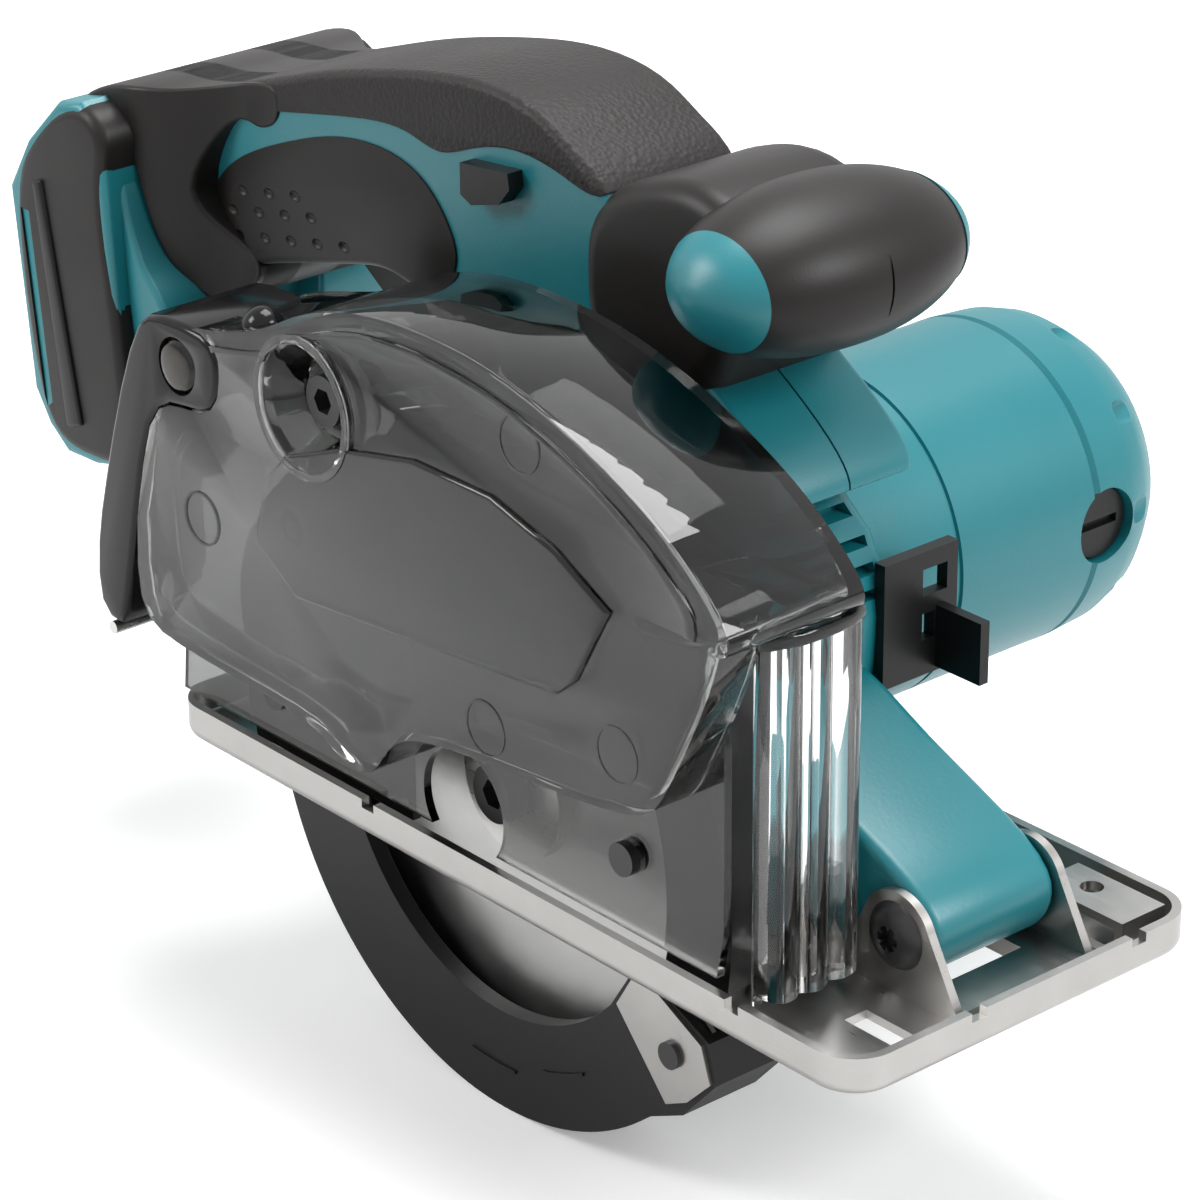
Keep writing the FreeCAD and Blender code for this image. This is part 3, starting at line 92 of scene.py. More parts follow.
class Effect:
    """A shader node group that several finishes share, built once."""

    made: dict[str, bpy.types.NodeTree] = {}

    @classmethod
    def tree(cls, name: str, inputs: dict[str, object], outputs: dict[str, str]) -> bpy.types.NodeTree:
        """An empty group with its sockets.

        Args:
            name: the group's name.
            inputs: each input's default, a number or a colour.
            outputs: each output's socket type.

        Returns:
            The new node tree, with its input and output nodes.
        """
        tree = bpy.data.node_groups.new(name, "ShaderNodeTree")
        for label, default in inputs.items():
            kind = "NodeSocketFloat" if isinstance(default, (int, float)) else "NodeSocketColor"
            socket = tree.interface.new_socket(label, in_out="INPUT", socket_type=kind)
            socket.default_value = default if kind == "NodeSocketFloat" else (*default, 1)
        for label, kind in outputs.items():
            tree.interface.new_socket(label, in_out="OUTPUT", socket_type=kind)
        tree.nodes.new("NodeGroupInput").name = "In"
        tree.nodes.new("NodeGroupOutput").name = "Out"
        cls.made[name] = tree
        return tree

    @classmethod
    def grain(cls) -> bpy.types.NodeTree:
        """The fine spark grain of a moulded part, with a slow drift of its colour and polish."""
        if "MouldedGrain" in cls.made:
            return cls.made["MouldedGrain"]
        tree = cls.tree("MouldedGrain", {"Base": (.5, .5, .5), "Drift": .06, "Size": 1800., "Polish": .4, "Uneven": .1},
                        {"Colour": "NodeSocketColor", "Roughness": "NodeSocketFloat", "Height": "NodeSocketFloat"})
        n, link = tree.nodes, tree.links.new
        where = n.new("ShaderNodeTexCoord")
        fine = n.new("ShaderNodeTexNoise")
        fine.inputs["Detail"].default_value = 2
        link(where.outputs["Object"], fine.inputs["Vector"])
        link(n["In"].outputs["Size"], fine.inputs["Scale"])
        slow = n.new("ShaderNodeTexNoise")
        slow.inputs["Scale"].default_value = 45
        slow.inputs["Detail"].default_value = 4
        link(where.outputs["Object"], slow.inputs["Vector"])
        shade = cls.number(tree, "MULTIPLY_ADD", slow.outputs["Fac"], n["In"].outputs["Drift"], 1.)
        scale = n.new("ShaderNodeVectorMath")
        scale.operation = "SCALE"
        link(n["In"].outputs["Base"], scale.inputs[0])
        link(shade, scale.inputs["Scale"])
        link(scale.outputs[0], n["Out"].inputs["Colour"])
        drift = cls.number(tree, "SUBTRACT", slow.outputs["Fac"], .5)
        link(cls.number(tree, "MULTIPLY_ADD", drift, n["In"].outputs["Uneven"], n["In"].outputs["Polish"]),
             n["Out"].inputs["Roughness"])
        link(fine.outputs["Fac"], n["Out"].inputs["Height"])
        return tree

    @classmethod
    def leather(cls) -> bpy.types.NodeTree:
        """The pebbled grain of the soft grip, made from smooth Voronoi cells over the whole surface."""
        if "PebbledGrip" in cls.made:
            return cls.made["PebbledGrip"]
        tree = cls.tree("PebbledGrip", {"Size": 900.}, {"Height": "NodeSocketFloat"})
        n, link = tree.nodes, tree.links.new
        where = n.new("ShaderNodeTexCoord")
        cells = n.new("ShaderNodeTexVoronoi")
        cells.feature = "SMOOTH_F1"
        cells.inputs["Smoothness"].default_value = .6
        link(where.outputs["Object"], cells.inputs["Vector"])
        link(n["In"].outputs["Size"], cells.inputs["Scale"])
        link(cells.outputs["Distance"], n["Out"].inputs["Height"])
        return tree

    @classmethod
    def brushed(cls) -> bpy.types.NodeTree:
        """Straight brushing on metal, its lines running along x, with scattered handling marks."""
        if "Brushing" in cls.made:
            return cls.made["Brushing"]
        tree = cls.tree("Brushing", {"Base": (.6, .6, .6), "Along": 60., "Across": 2400., "Polish": .3, "Uneven": .25},
                        {"Colour": "NodeSocketColor", "Roughness": "NodeSocketFloat", "Height": "NodeSocketFloat"})
        n, link = tree.nodes, tree.links.new
        where = n.new("ShaderNodeTexCoord")
        stretch = n.new("ShaderNodeCombineXYZ")
        link(n["In"].outputs["Along"], stretch.inputs["X"])
        link(n["In"].outputs["Across"], stretch.inputs["Y"])
        link(n["In"].outputs["Across"], stretch.inputs["Z"])
        spread = n.new("ShaderNodeVectorMath")
        spread.operation = "MULTIPLY"
        link(where.outputs["Object"], spread.inputs[0])
        link(stretch.outputs[0], spread.inputs[1])
        lines = n.new("ShaderNodeTexNoise")
        lines.inputs["Scale"].default_value = 1
        lines.inputs["Detail"].default_value = 3
        link(spread.outputs[0], lines.inputs["Vector"])
        marks = n.new("ShaderNodeTexNoise")
        marks.inputs["Scale"].default_value = 90
        marks.inputs["Detail"].default_value = 6
        link(where.outputs["Object"], marks.inputs["Vector"])
        tone = cls.number(tree, "MULTIPLY_ADD", marks.outputs["Fac"], .22, .88)
        scale = n.new("ShaderNodeVectorMath")
        scale.operation = "SCALE"
        link(n["In"].outputs["Base"], scale.inputs[0])
        link(tone, scale.inputs["Scale"])
        link(scale.outputs[0], n["Out"].inputs["Colour"])
        both = cls.number(tree, "MULTIPLY", lines.outputs["Fac"], marks.outputs["Fac"])
        link(cls.number(tree, "MULTIPLY_ADD", both, n["In"].outputs["Uneven"], n["In"].outputs["Polish"]),
             n["Out"].inputs["Roughness"])
        link(lines.outputs["Fac"], n["Out"].inputs["Height"])
        return tree

    @staticmethod
    def number(tree: bpy.types.NodeTree, operation: str, *terms: object) -> bpy.types.NodeSocket:
        """One sum inside a group.

        Args:
            tree: the group.
            operation: the Math node's operation.
            terms: sockets or plain numbers, in the node's order.

        Returns:
            The socket that carries the result.
        """
        node = tree.nodes.new("ShaderNodeMath")
        node.operation = operation
        for place, term in enumerate(terms):
            if isinstance(term, (int, float)):
                node.inputs[place].default_value = term
            else:
                tree.links.new(term, node.inputs[place])
        return node.outputs[0]


def blank(name: str) -> tuple[bpy.types.Material, bpy.types.Node]:
    """A new material and its shader.

    Args:
        name: the material's name.

    Returns:
        The material and its Principled node.
    """
    material = bpy.data.materials.new(name)
    material.use_nodes = True
    return material, material.node_tree.nodes["Principled BSDF"]


def place_group(material: bpy.types.Material, tree: bpy.types.NodeTree, values: dict[str, object]) -> bpy.types.Node:
    """One use of an effect in a material.

    Args:
        material: the material that gets it.
        tree: the effect.
        values: its inputs, by name.

    Returns:
        The group node.
    """
    node = material.node_tree.nodes.new("ShaderNodeGroup")
    node.node_tree = tree
    for label, amount in values.items():
        node.inputs[label].default_value = amount if isinstance(amount, (int, float)) else (*amount, 1)
    return node


def bump_from(material: bpy.types.Material, height: bpy.types.NodeSocket, shader: bpy.types.Node,
              depth: float) -> None:
    """Relief on a material's surface.

    Args:
        material: the material.
        height: the socket with the relief.
        shader: the shader that gets the normal.
        depth: the relief's depth, in metres.
    """
    bump = material.node_tree.nodes.new("ShaderNodeBump")
    bump.inputs["Strength"].default_value = 1
    bump.inputs["Distance"].default_value = depth
    material.node_tree.links.new(height, bump.inputs["Height"])
    material.node_tree.links.new(bump.outputs["Normal"], shader.inputs["Normal"])


@dataclass(frozen=True)
class Moulded:
    """Moulded plastic or soft rubber with a spark grain."""

    name: str
    colour: Colour
    roughness: float
    size: float = 1800.
    depth: float = .00003
    drift: float = .06
    coat: float = 0.
    pebbled: bool = False
    shine: float = .25

    def make(self) -> bpy.types.Material:
        """The finished material."""
        material, shader = blank(self.name)
        link = material.node_tree.links.new
        grain = place_group(material, Effect.grain(), {
            "Base": self.colour, "Drift": self.drift, "Size": self.size, "Polish": self.roughness, "Uneven": .14})
        link(grain.outputs["Colour"], shader.inputs["Base Color"])
        link(grain.outputs["Roughness"], shader.inputs["Roughness"])
        shader.inputs["Specular IOR Level"].default_value = self.shine
        shader.inputs["Coat Weight"].default_value = self.coat
        shader.inputs["Coat Roughness"].default_value = .12
        height = grain.outputs["Height"]
        if self.pebbled:
            pebbles = place_group(material, Effect.leather(), {"Size": 900.})
            height = pebbles.outputs["Height"]
        bump_from(material, height, shader, self.depth)
        return material


@dataclass(frozen=True)
class Metal:
    """Brushed, turned or blackened metal."""

    name: str
    colour: Colour
    roughness: float
    along: float = 60.
    across: float = 2400.
    depth: float = .00001
    metallic: float = 1.

    def make(self) -> bpy.types.Material:
        """The finished material."""
        material, shader = blank(self.name)
        link = material.node_tree.links.new
        lines = place_group(material, Effect.brushed(), {
            "Base": self.colour, "Along": self.along, "Across": self.across, "Polish": self.roughness, "Uneven": .3})
        link(lines.outputs["Colour"], shader.inputs["Base Color"])
        link(lines.outputs["Roughness"], shader.inputs["Roughness"])
        shader.inputs["Metallic"].default_value = self.metallic
        bump_from(material, lines.outputs["Height"], shader, self.depth)
        return material


@dataclass(frozen=True)
class ClearPlastic:
    """See-through moulded plastic."""

    name: str
    tint: Colour
    roughness: float = .03
    shine: float = .5

    def make(self) -> bpy.types.Material:
        """The finished material."""
        material, shader = blank(self.name)
        grain = place_group(material, Effect.grain(), {
            "Base": self.tint, "Drift": .03, "Size": 160., "Polish": self.roughness, "Uneven": .02})
        material.node_tree.links.new(grain.outputs["Colour"], shader.inputs["Base Color"])
        material.node_tree.links.new(grain.outputs["Roughness"], shader.inputs["Roughness"])
        shader.inputs["Transmission Weight"].default_value = 1
        shader.inputs["IOR"].default_value = 1.45
        shader.inputs["Specular IOR Level"].default_value = self.shine
        return material


class Finish(Enum):
    """Every finish on the saw."""

    TEAL = Moulded("teal nylon", (.005, .165, .195), .38, depth=.00003, shine=.6)
    TEAL_DARK = Moulded("teal inlay", (.003, .17, .2), .45, depth=.00003)
    SOFT = Moulded("soft black rubber", (.012, .0105, .01), .42, depth=.00002)
    PEBBLED = Moulded("pebbled soft rubber", (.016, .0142, .0138), .5, depth=.00018, pebbled=True)
    BLACK = Moulded("black plastic", (.008, .008, .0085), .36, depth=.00002)
    GLOSSY = Moulded("glossy black plastic", (.006, .006, .0065), .14, depth=.000004)
    SMOKY = ClearPlastic("smoky clear plastic", (.23, .235, .23), .02, .2)
    CLEAR = ClearPlastic("clear plastic", (.97, .975, .97), .02, .35)
    AMBER = ClearPlastic("amber lens", (.55, .4, .22), .06)
    TEAL_METAL = Moulded("teal painted metal", (.005, .165, .195), .36, size=900., depth=.00003, shine=.6)
    BASE = Metal("brushed base sheet", (.44, .43, .415), .24)
    STEEL = Metal("bright steel", (.6, .59, .57), .22, 400., 1600.)
    BLACK_STEEL = Metal("blackened steel", (.05, .05, .052), .34, 300., 900., metallic=.7)
    BLADE = Metal("blade steel", (.56, .56, .55), .3, 900., 900.)
    COPPER = Metal("wound copper", (.72, .33, .14), .35, 200., 1800.)
    MAGNET = Metal("sintered magnet", (.12, .12, .125), .45, 500., 500., metallic=.5)


MATERIALS: dict[Finish, bpy.types.Material] = {}


def dressed(finish: Finish) -> bpy.types.Material:
    """The one material of a finish, made when it is first asked for."""
    if finish not in MATERIALS:
        MATERIALS[finish] = finish.value.make()
    return MATERIALS[finish]


BY_SLOT = {
    "teal_nylon": Finish.TEAL, "soft_black": Finish.SOFT, "black_plastic": Finish.BLACK,
    "smoky_clear": Finish.SMOKY, "clear": Finish.CLEAR, "teal_metal": Finish.TEAL_METAL,
    "base_steel": Finish.BASE, "steel": Finish.STEEL, "black_steel": Finish.BLACK_STEEL,
    "blade_steel": Finish.BLADE, "copper": Finish.COPPER, "magnet": Finish.MAGNET,
}


# ---------------------------------------------------------------- shapes


class Shape:
    """A mesh in the making, in millimetres, that bmesh operators shape."""

    def __init__(self) -> None:
        """Starts empty."""
        self.bm = bmesh.new()

    @classmethod
    def slab(cls, outline: list[Point], start: float, end: float, rounds: int = 2,
             axis: Axis = Axis.Y) -> "Shape":
        """A closed outline drawn out into a slab.

        Args:
            outline: the corners; (x, z) for a slab along Y, (x, y) along Z, (y, z) along X. A corner with a
                third entry stays sharp.
            start: where the slab begins.
            end: where it ends.
            rounds: how often the outline is halved and smoothed; 0 keeps it sharp.
            axis: the direction of its thickness.

        Returns:
            The slab.
        """
        shape = cls()
        bm = shape.bm
        at = {Axis.Y: lambda a, b: (a, start, b), Axis.Z: lambda a, b: (a, b, start),
              Axis.X: lambda a, b: (start, a, b)}[axis]
        verts = [bm.verts.new(at(corner[0], corner[1])) for corner in outline]
        for first, second in zip(verts, verts[1:] + verts[:1]):
            bm.edges.new((first, second))
        held = {vert for vert, corner in zip(verts, outline) if len(corner) == 3}
        for _ in range(rounds):
            bmesh.ops.subdivide_edges(bm, edges=bm.edges[:], cuts=1)
            bmesh.ops.smooth_vert(bm, verts=[v for v in bm.verts if v not in held], factor=.5, use_axis_x=True,
                                  use_axis_y=True, use_axis_z=True)
        bmesh.ops.contextual_create(bm, geom=bm.edges[:])
        grown = bmesh.ops.extrude_face_region(bm, geom=bm.faces[:])
        moved = [v for v in grown["geom"] if isinstance(v, bmesh.types.BMVert)]
        bmesh.ops.translate(bm, verts=moved, vec=axis.value * (end - start))
        bmesh.ops.recalc_face_normals(bm, faces=bm.faces[:])
        return shape

    @classmethod
    def lathe(cls, profile: list[Point], centre: tuple[float, float, float], axis: Axis = Axis.Y,
              steps: int = 96, rounds: int = 0) -> "Shape":
        """A profile spun into a solid of revolution.

        Args:
            profile: (distance along the axis, radius) pairs from end to end.
            centre: a point on the axis, from which the distances run.
            axis: the axis.
            steps: the faces in a turn.
            rounds: how often the profile is halved and smoothed first.

        Returns:
            The closed solid.
        """
        shape = cls()
        bm = shape.bm
        side = {Axis.Y: Vector((1, 0, 0)), Axis.X: Vector((0, 0, 1)), Axis.Z: Vector((1, 0, 0))}[axis]
        verts = [bm.verts.new(Vector(centre) + axis.value * a + side * r) for a, r in profile]
        for first, second in zip(verts, verts[1:]):
            bm.edges.new((first, second))
        ends = {verts[0].co.copy().freeze(), verts[-1].co.copy().freeze()}
        for _ in range(rounds):
            bmesh.ops.subdivide_edges(bm, edges=bm.edges[:], cuts=1)
            inner = [v for v in bm.verts if len(v.link_edges) == 2]
            bmesh.ops.smooth_vert(bm, verts=inner, factor=.5, use_axis_x=True, use_axis_y=True, use_axis_z=True)
        del ends
        bmesh.ops.spin(bm, geom=bm.verts[:] + bm.edges[:], cent=centre, axis=axis.value, angle=2 * math.pi,
                       steps=steps, use_merge=True)
        bmesh.ops.remove_doubles(bm, verts=bm.verts[:], dist=.002)
        bmesh.ops.recalc_face_normals(bm, faces=bm.faces[:])
        return shape

    @classmethod
    def rod(cls, centre: tuple[float, float, float], radius: float, length: float, axis: Axis = Axis.Y,
            steps: int = 40, taper: float = 1.) -> "Shape":
        """A round bar or, with a taper, a cone, that starts at a point.

        Args:
            centre: the middle of its first end.
            radius: its radius there.
            length: its length along the axis.
            axis: its direction.
            steps: the faces in a turn.
            taper: the far end's radius over the first's.

        Returns:
            The bar.
        """
        shape = cls()
        turn = Vector((0, 0, 1)).rotation_difference(axis.value).to_matrix().to_4x4()
        middle = Vector(centre) + axis.value * length / 2
        bmesh.ops.create_cone(shape.bm, cap_ends=True, segments=steps, radius1=radius, radius2=radius * taper,
                              depth=length, matrix=Matrix.Translation(middle) @ turn)
        return shape

    @classmethod
    def block(cls, low: tuple[float, float, float], high: tuple[float, float, float]) -> "Shape":
        """A box between two corners."""
        shape = cls()
        size = [b - a for a, b in zip(low, high)]
        middle = [(a + b) / 2 for a, b in zip(low, high)]
        bmesh.ops.create_cube(shape.bm, size=1, matrix=Matrix.Translation(middle) @ Matrix.Diagonal((*size, 1)))
        return shape

    @classmethod
    def ball(cls, centre: tuple[float, float, float], radii: tuple[float, float, float],
             fine: int = 24) -> "Shape":
        """An ellipsoid about a point."""
        shape = cls()
        bmesh.ops.create_uvsphere(shape.bm, u_segments=fine * 2, v_segments=fine, radius=1,
                                  matrix=Matrix.Translation(centre) @ Matrix.Diagonal((*radii, 1)))
        return shape

    @classmethod
    def of_node(cls, name: str) -> "Shape":
        """A merged copy of a CAD node's mesh."""
        shape = cls()
        shape.bm.from_mesh(frame["nodes"][name].data)
        bmesh.ops.scale(shape.bm, vec=(1 / MM,) * 3, verts=shape.bm.verts[:])
        bmesh.ops.remove_doubles(shape.bm, verts=shape.bm.verts[:], dist=.001)
        bmesh.ops.dissolve_limit(shape.bm, angle_limit=.002, verts=shape.bm.verts[:], edges=shape.bm.edges[:])
        return shape

    def bevel(self, width: float, segments: int = 3, angle: float = 35, where: object = None) -> "Shape":
        """Rounds the edges that fold by more than an angle.

        Args:
            width: the rounding's width.
            segments: its steps.
            angle: the least fold, in degrees.
            where: a test of an edge's middle; without one, every such edge counts.

        Returns:
            This shape.
        """
        edges = [e for e in self.bm.edges if len(e.link_faces) == 2
                 and e.calc_face_angle(0) > math.radians(angle)
                 and (where is None or where((e.verts[0].co + e.verts[1].co) / 2))]
        if edges:
            bmesh.ops.bevel(self.bm, geom=edges, offset=width, segments=segments, profile=.5, material=-1,
                            affect="EDGES", clamp_overlap=True)
        return self

    def grow(self, amount: float) -> "Shape":
        """Moves the skin outwards by an amount."""
        self.bm.normal_update()
        shifts = [(v, v.normal * amount) for v in self.bm.verts]
        for vertex, shift in shifts:
            vertex.co += shift
        return self

    def slice_x(self, start: float, end: float, step: float) -> "Shape":
        """Divides the skin by planes across X, so that a taper bends it smoothly.

        Args:
            start: the first plane.
            end: the last plane's limit.
            step: the spacing.

        Returns:
            This shape.
        """
        x = start
        while x < end:
            bmesh.ops.bisect_plane(self.bm, geom=self.bm.verts[:] + self.bm.edges[:] + self.bm.faces[:],
                                   plane_co=(x, 0, 0), plane_no=(1, 0, 0), dist=.0001)
            x += step
        return self

    def taper(self, start: float, end: float, ratio: float, core: float = 6.) -> "Shape":
        """Draws the sides in towards the middle plane, smoothly, from one x to another.

        Args:
            start: where the narrowing starts.
            end: where it is complete.
            ratio: the width that is left there, over the first width.
            core: the half-width that keeps its place.

        Returns:
            This shape.
        """
        for vertex in self.bm.verts:
            part = min(max((vertex.co.x - start) / (end - start), 0), 1)
            part = part * part * (3 - 2 * part)
            outside = abs(vertex.co.y) - core
            if outside > 0:
                vertex.co.y = math.copysign(core + outside * (1 + (ratio - 1) * part), vertex.co.y)
        return self

    def smooth(self, times: int, where: object = None) -> "Shape":
        """Relaxes the vertices that a test picks, several times."""
        for _ in range(times):
            bmesh.ops.smooth_vert(self.bm, verts=[v for v in self.bm.verts if where is None or where(v.co)],
                                  factor=.5, use_axis_x=True, use_axis_y=True, use_axis_z=True)
        return self

    def turn(self, centre: tuple[float, float, float], axis: Axis, degrees: float) -> "Shape":
        """Turns the whole shape about an axis through a point."""
        bmesh.ops.rotate(self.bm, verts=self.bm.verts[:], cent=centre,
                         matrix=Matrix.Rotation(math.radians(degrees), 3, axis.value))
        return self

    def mirrored(self) -> "Shape":
        """A copy on the other side of the handle's middle plane."""
        twin = Shape()
        twin.bm = self.bm.copy()
        bmesh.ops.scale(twin.bm, vec=(1, -1, 1), verts=twin.bm.verts[:])
        bmesh.ops.reverse_faces(twin.bm, faces=twin.bm.faces[:])
        return twin

    def with_(self, other: "Shape") -> "Shape":
        """Adds another shape's faces as they are."""
        mesh = bpy.data.meshes.new("loose")
        other.bm.to_mesh(mesh)
        self.bm.from_mesh(mesh)
        bpy.data.meshes.remove(mesh)
        return self

    def combine(self, other: "Shape", how: Joining) -> "Shape":
        """Adds, cuts away or keeps what another closed shape holds.

        Args:
            other: the other shape.
            how: what to do with it.

        Returns:
            This shape.
        """
        holders = []
        for shape in (self, other):
            mesh = bpy.data.meshes.new("step")
            shape.bm.to_mesh(mesh)
            holders.append(bpy.data.objects.new("step", mesh))
            bpy.context.scene.collection.objects.link(holders[-1])
        step = holders[0].modifiers.new("join", "BOOLEAN")
        step.object, step.operation, step.solver = holders[1], how.value, "EXACT"
        result = bpy.data.meshes.new_from_object(holders[0].evaluated_get(bpy.context.evaluated_depsgraph_get()))
        self.bm.free()
        self.bm = bmesh.new()
        self.bm.from_mesh(result)
        for holder in holders:
            mesh = holder.data
            bpy.data.objects.remove(holder)
            bpy.data.meshes.remove(mesh)
        bpy.data.meshes.remove(result)
        bmesh.ops.remove_doubles(self.bm, verts=self.bm.verts[:], dist=.0005)
        return self

    def cut(self, other: "Shape") -> "Shape":
        """Cuts another shape away."""
        return self.combine(other, Joining.CUT)

    def keep(self, other: "Shape") -> "Shape":
        """Keeps only what another shape also holds."""
        return self.combine(other, Joining.KEEP)

    def add(self, other: "Shape") -> "Shape":
        """Joins another shape on."""
        return self.combine(other, Joining.ADD)

    def finish(self, name: str, finish: Finish, body: str = "saw", instead_of: tuple[str, ...] = (),
               sharp: float = 32) -> bpy.types.Object:
        """Makes the shape a finished, dressed piece that rides on a body.

        Args:
            name: the piece's name.
            finish: its finish.
            body: the body it moves with.
            instead_of: the CAD nodes it stands for.
            sharp: the fold, in degrees, above which an edge stays crisp.

        Returns:
            The piece.
        """
        bm = self.bm
        bmesh.ops.scale(bm, vec=(MM, MM, MM), verts=bm.verts[:])
        bm.normal_update()
        for face in bm.faces:
            face.smooth = True
        for edge in bm.edges:
            edge.smooth = len(edge.link_faces) == 2 and edge.calc_face_angle(0) < math.radians(sharp)
        mesh = bpy.data.meshes.new(name)
        bm.to_mesh(mesh)
        bm.free()
        mesh.materials.append(dressed(finish))
        piece = bpy.data.objects.new(name, mesh)
        bpy.context.scene.collection.objects.link(piece)
        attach(piece, body)
        if instead_of:
            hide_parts(*instead_of)
        LOG.info("%s: %d faces", name, len(mesh.polygons))
        return piece


# ---------------------------------------------------------------- sub-assemblies


@dataclass
class Handle:
    """The handle's arch, its soft covers, and the foot that takes a battery."""

    half: float = 18.
    foot_half: float = 40.
    rounding: float = 7.5
    cover_stands: float = .5

    arch = [(-150, 128), (-139, 129), (-128, 132.5), (-110, 138.5), (-92, 144.5), (-64, 151), (-44, 154),
            (-25, 152.5), (-14, 146), (-2, 141), (6, 120), (28, 108), (46, 96), (52, 88), (49, 84), (-36, 84),
            (-46, 93), (-58, 101), (-70, 103), (-78, 104.5), (-96, 99.5), (-114, 95), (-132, 89), (-143, 78),
            (-148, 60), (-148, 42), (-160, 39), (-162, 80), (-160, 124)]
    top_cover = [(-150, 124), (-139, 125), (-124, 128), (-100, 133), (-80, 137), (-66, 138), (-56, 134), (-44, 140),
                 (-30, 143), (-16, 141), (-4, 137), (4, 146), (-20, 160), (-60, 158), (-100, 148), (-150, 134)]
    palm = [(-141, 100, 1), (-136, 109), (-127, 117), (-108, 125), (-90, 131), (-72, 132), (-60, 128), (-52, 119),
            (-50, 112), (-55, 104), (-63, 96, 1), (-78, 88, 1), (-100, 82, 1), (-130, 76, 1)]
    foot = [(-188.5, 99), (-183.5, 50), (-178, 42), (-171, 37), (-160, 37.5), (-150, 40), (-147, 78), (-150, 120),
            (-158, 126), (-167, 124), (-180, 112)]
    pillar = [(-187.6, 99.5, 1), (-182.6, 49.5, 1), (-173.5, 38.4, 1), (-160, 38.6), (-144, 40, 1), (-144.5, 58),
              (-147, 80), (-150, 99), (-150, 111), (-147.5, 119, 1), (-154, 126.5), (-166, 124), (-179.5, 111.5)]
    crescent = [(-156, 118), (-150, 112), (-147, 100), (-142, 88), (-131, 82), (-138, 60), (-144, 42), (-158, 42),
                (-160, 80)]
    swirl = [(-174, 119.5, 1), (-162, 127.5), (-150, 130.6), (-140, 130.4), (-128, 133), (-112, 137.6, 1),
             (-111, 131, 1), (-114, 126.5), (-120, 124.5), (-125, 126.5), (-130, 123), (-139, 107, 1), (-130, 98),
             (-118, 92, 1), (-126, 84), (-132, 80), (-141, 86), (-146, 98), (-149, 110), (-151, 116), (-160, 120)]
    mouth = [(-194, 97), (-188.5, 50), (-179, 50), (-184, 97)]
    rail = [(-188, 95), (-183, 52), (-178, 52), (-183, 95)]
    rib = [(-176.5, 103), (-173, 104.5), (-162, 47), (-168, 45)]
    strip = [(-183, 95), (-179.5, 95), (-174.5, 49), (-177.5, 47)]

    def form(self) -> Shape:
        """The rounded arch as one solid."""
        shape = Shape.slab(self.arch, -self.half, self.half, 2)
        return shape.bevel(self.rounding, 6, 60)

    def build(self) -> None:
        """Makes the handle's pieces."""
        core = self.form()
        seam = Shape.slab([(x * 1.02 + 1, (z - 100) * 1.04 + 100) for x, z in self.arch], -.25, .25, 2)
        core.cut(seam.cut(Shape.slab([(x * .98 - 1.5, (z - 102) * .93 + 102) for x, z in self.arch], -1, 1, 2)))
        for side in (-1, 1):
            core.cut(Shape.slab(self.palm, *sorted((side * 15., side * 30)), 2))
        core.finish("handle_arch", Finish.TEAL, instead_of=("handle_right", "handle_left"))
        zone = Shape.slab(self.top_cover, -30, 30, 2)
        self.form().grow(self.cover_stands).keep(zone).bevel(.4, 2, 50).finish(
            "grip_cover", Finish.PEBBLED, instead_of=("grip_cover_right", "grip_cover_left"))
        palm = self.form().grow(self.cover_stands).keep(
            Shape.slab(self.palm, self.half - 5, 30, 2)).bevel(.4, 2, 50)
        other = palm.mirrored()
        palm = self.dimple(palm.with_(other))
        palm.finish("palm_pads", Finish.SOFT, instead_of=("palm_pads",))
        foot = Shape.slab(self.foot, -self.foot_half, self.foot_half, 0).bevel(2.2, 4, 60)
        foot.cut(Shape.slab(self.mouth, -33, 33, 0))
        foot.finish("battery_foot", Finish.TEAL)
        plate = Shape.slab([(x + 5.5, z) for x, z in self.mouth], -33, 33, 0)
        plate.finish("foot_plate", Finish.BLACK)
        rails = Shape.slab(self.rail, -33, -28.5, 0).bevel(.5, 2, 60)
        rails.with_(rails.mirrored())
        rails.finish("foot_rails", Finish.BLACK, instead_of=("battery_rails",))
        for side, name in ((-1, "right"), (1, "left")):
            self.foot_side(side, name)
        Shape.slab(self.swirl, -17.9, 17.9, 2).bevel(5, 5, 60).finish(
            "rear_yoke", Finish.SOFT, instead_of=("rear_grips",))

    def foot_side(self, side: int, name: str) -> None:
        """The black pillar, teal crescent, rib and inlaid strip on one side of the foot.

        Args:
            side: -1 on the blade's side, 1 on the motor's.
            name: that side's name.
        """
        wide = sorted((side * 14., side * (self.foot_half + .6)))
        pillar = Shape.slab(self.pillar, *wide, 2).bevel(3.2, 5, 60)
        groove = Shape.slab([(x, z) for x, z in self.strip], *sorted((side * 39.4, side * 44)), 0)
        pillar.cut(groove)
        pillar.finish(f"foot_pillar_{name}", Finish.SOFT)
        Shape.slab(self.strip, *sorted((side * 38, side * 40.1)), 0).bevel(.5, 2, 60).finish(
            f"foot_strip_{name}", Finish.TEAL)
        Shape.slab(self.rib, *sorted((side * 38, side * 41.6)), 0).bevel(.9, 3, 60).finish(
            f"foot_rib_{name}", Finish.BLACK)
        Shape.slab(self.crescent, *sorted((side * 8., side * 36)), 2).bevel(7, 6, 60).finish(
            f"foot_crescent_{name}", Finish.TEAL)
        Shape.slab(self.swirl, *sorted((side * 6., side * 32)), 2).bevel(8, 7, 60).slice_x(
            -158, -112, 2.5).taper(-152, -122, .49).finish(f"rear_swirl_{name}", Finish.SOFT)

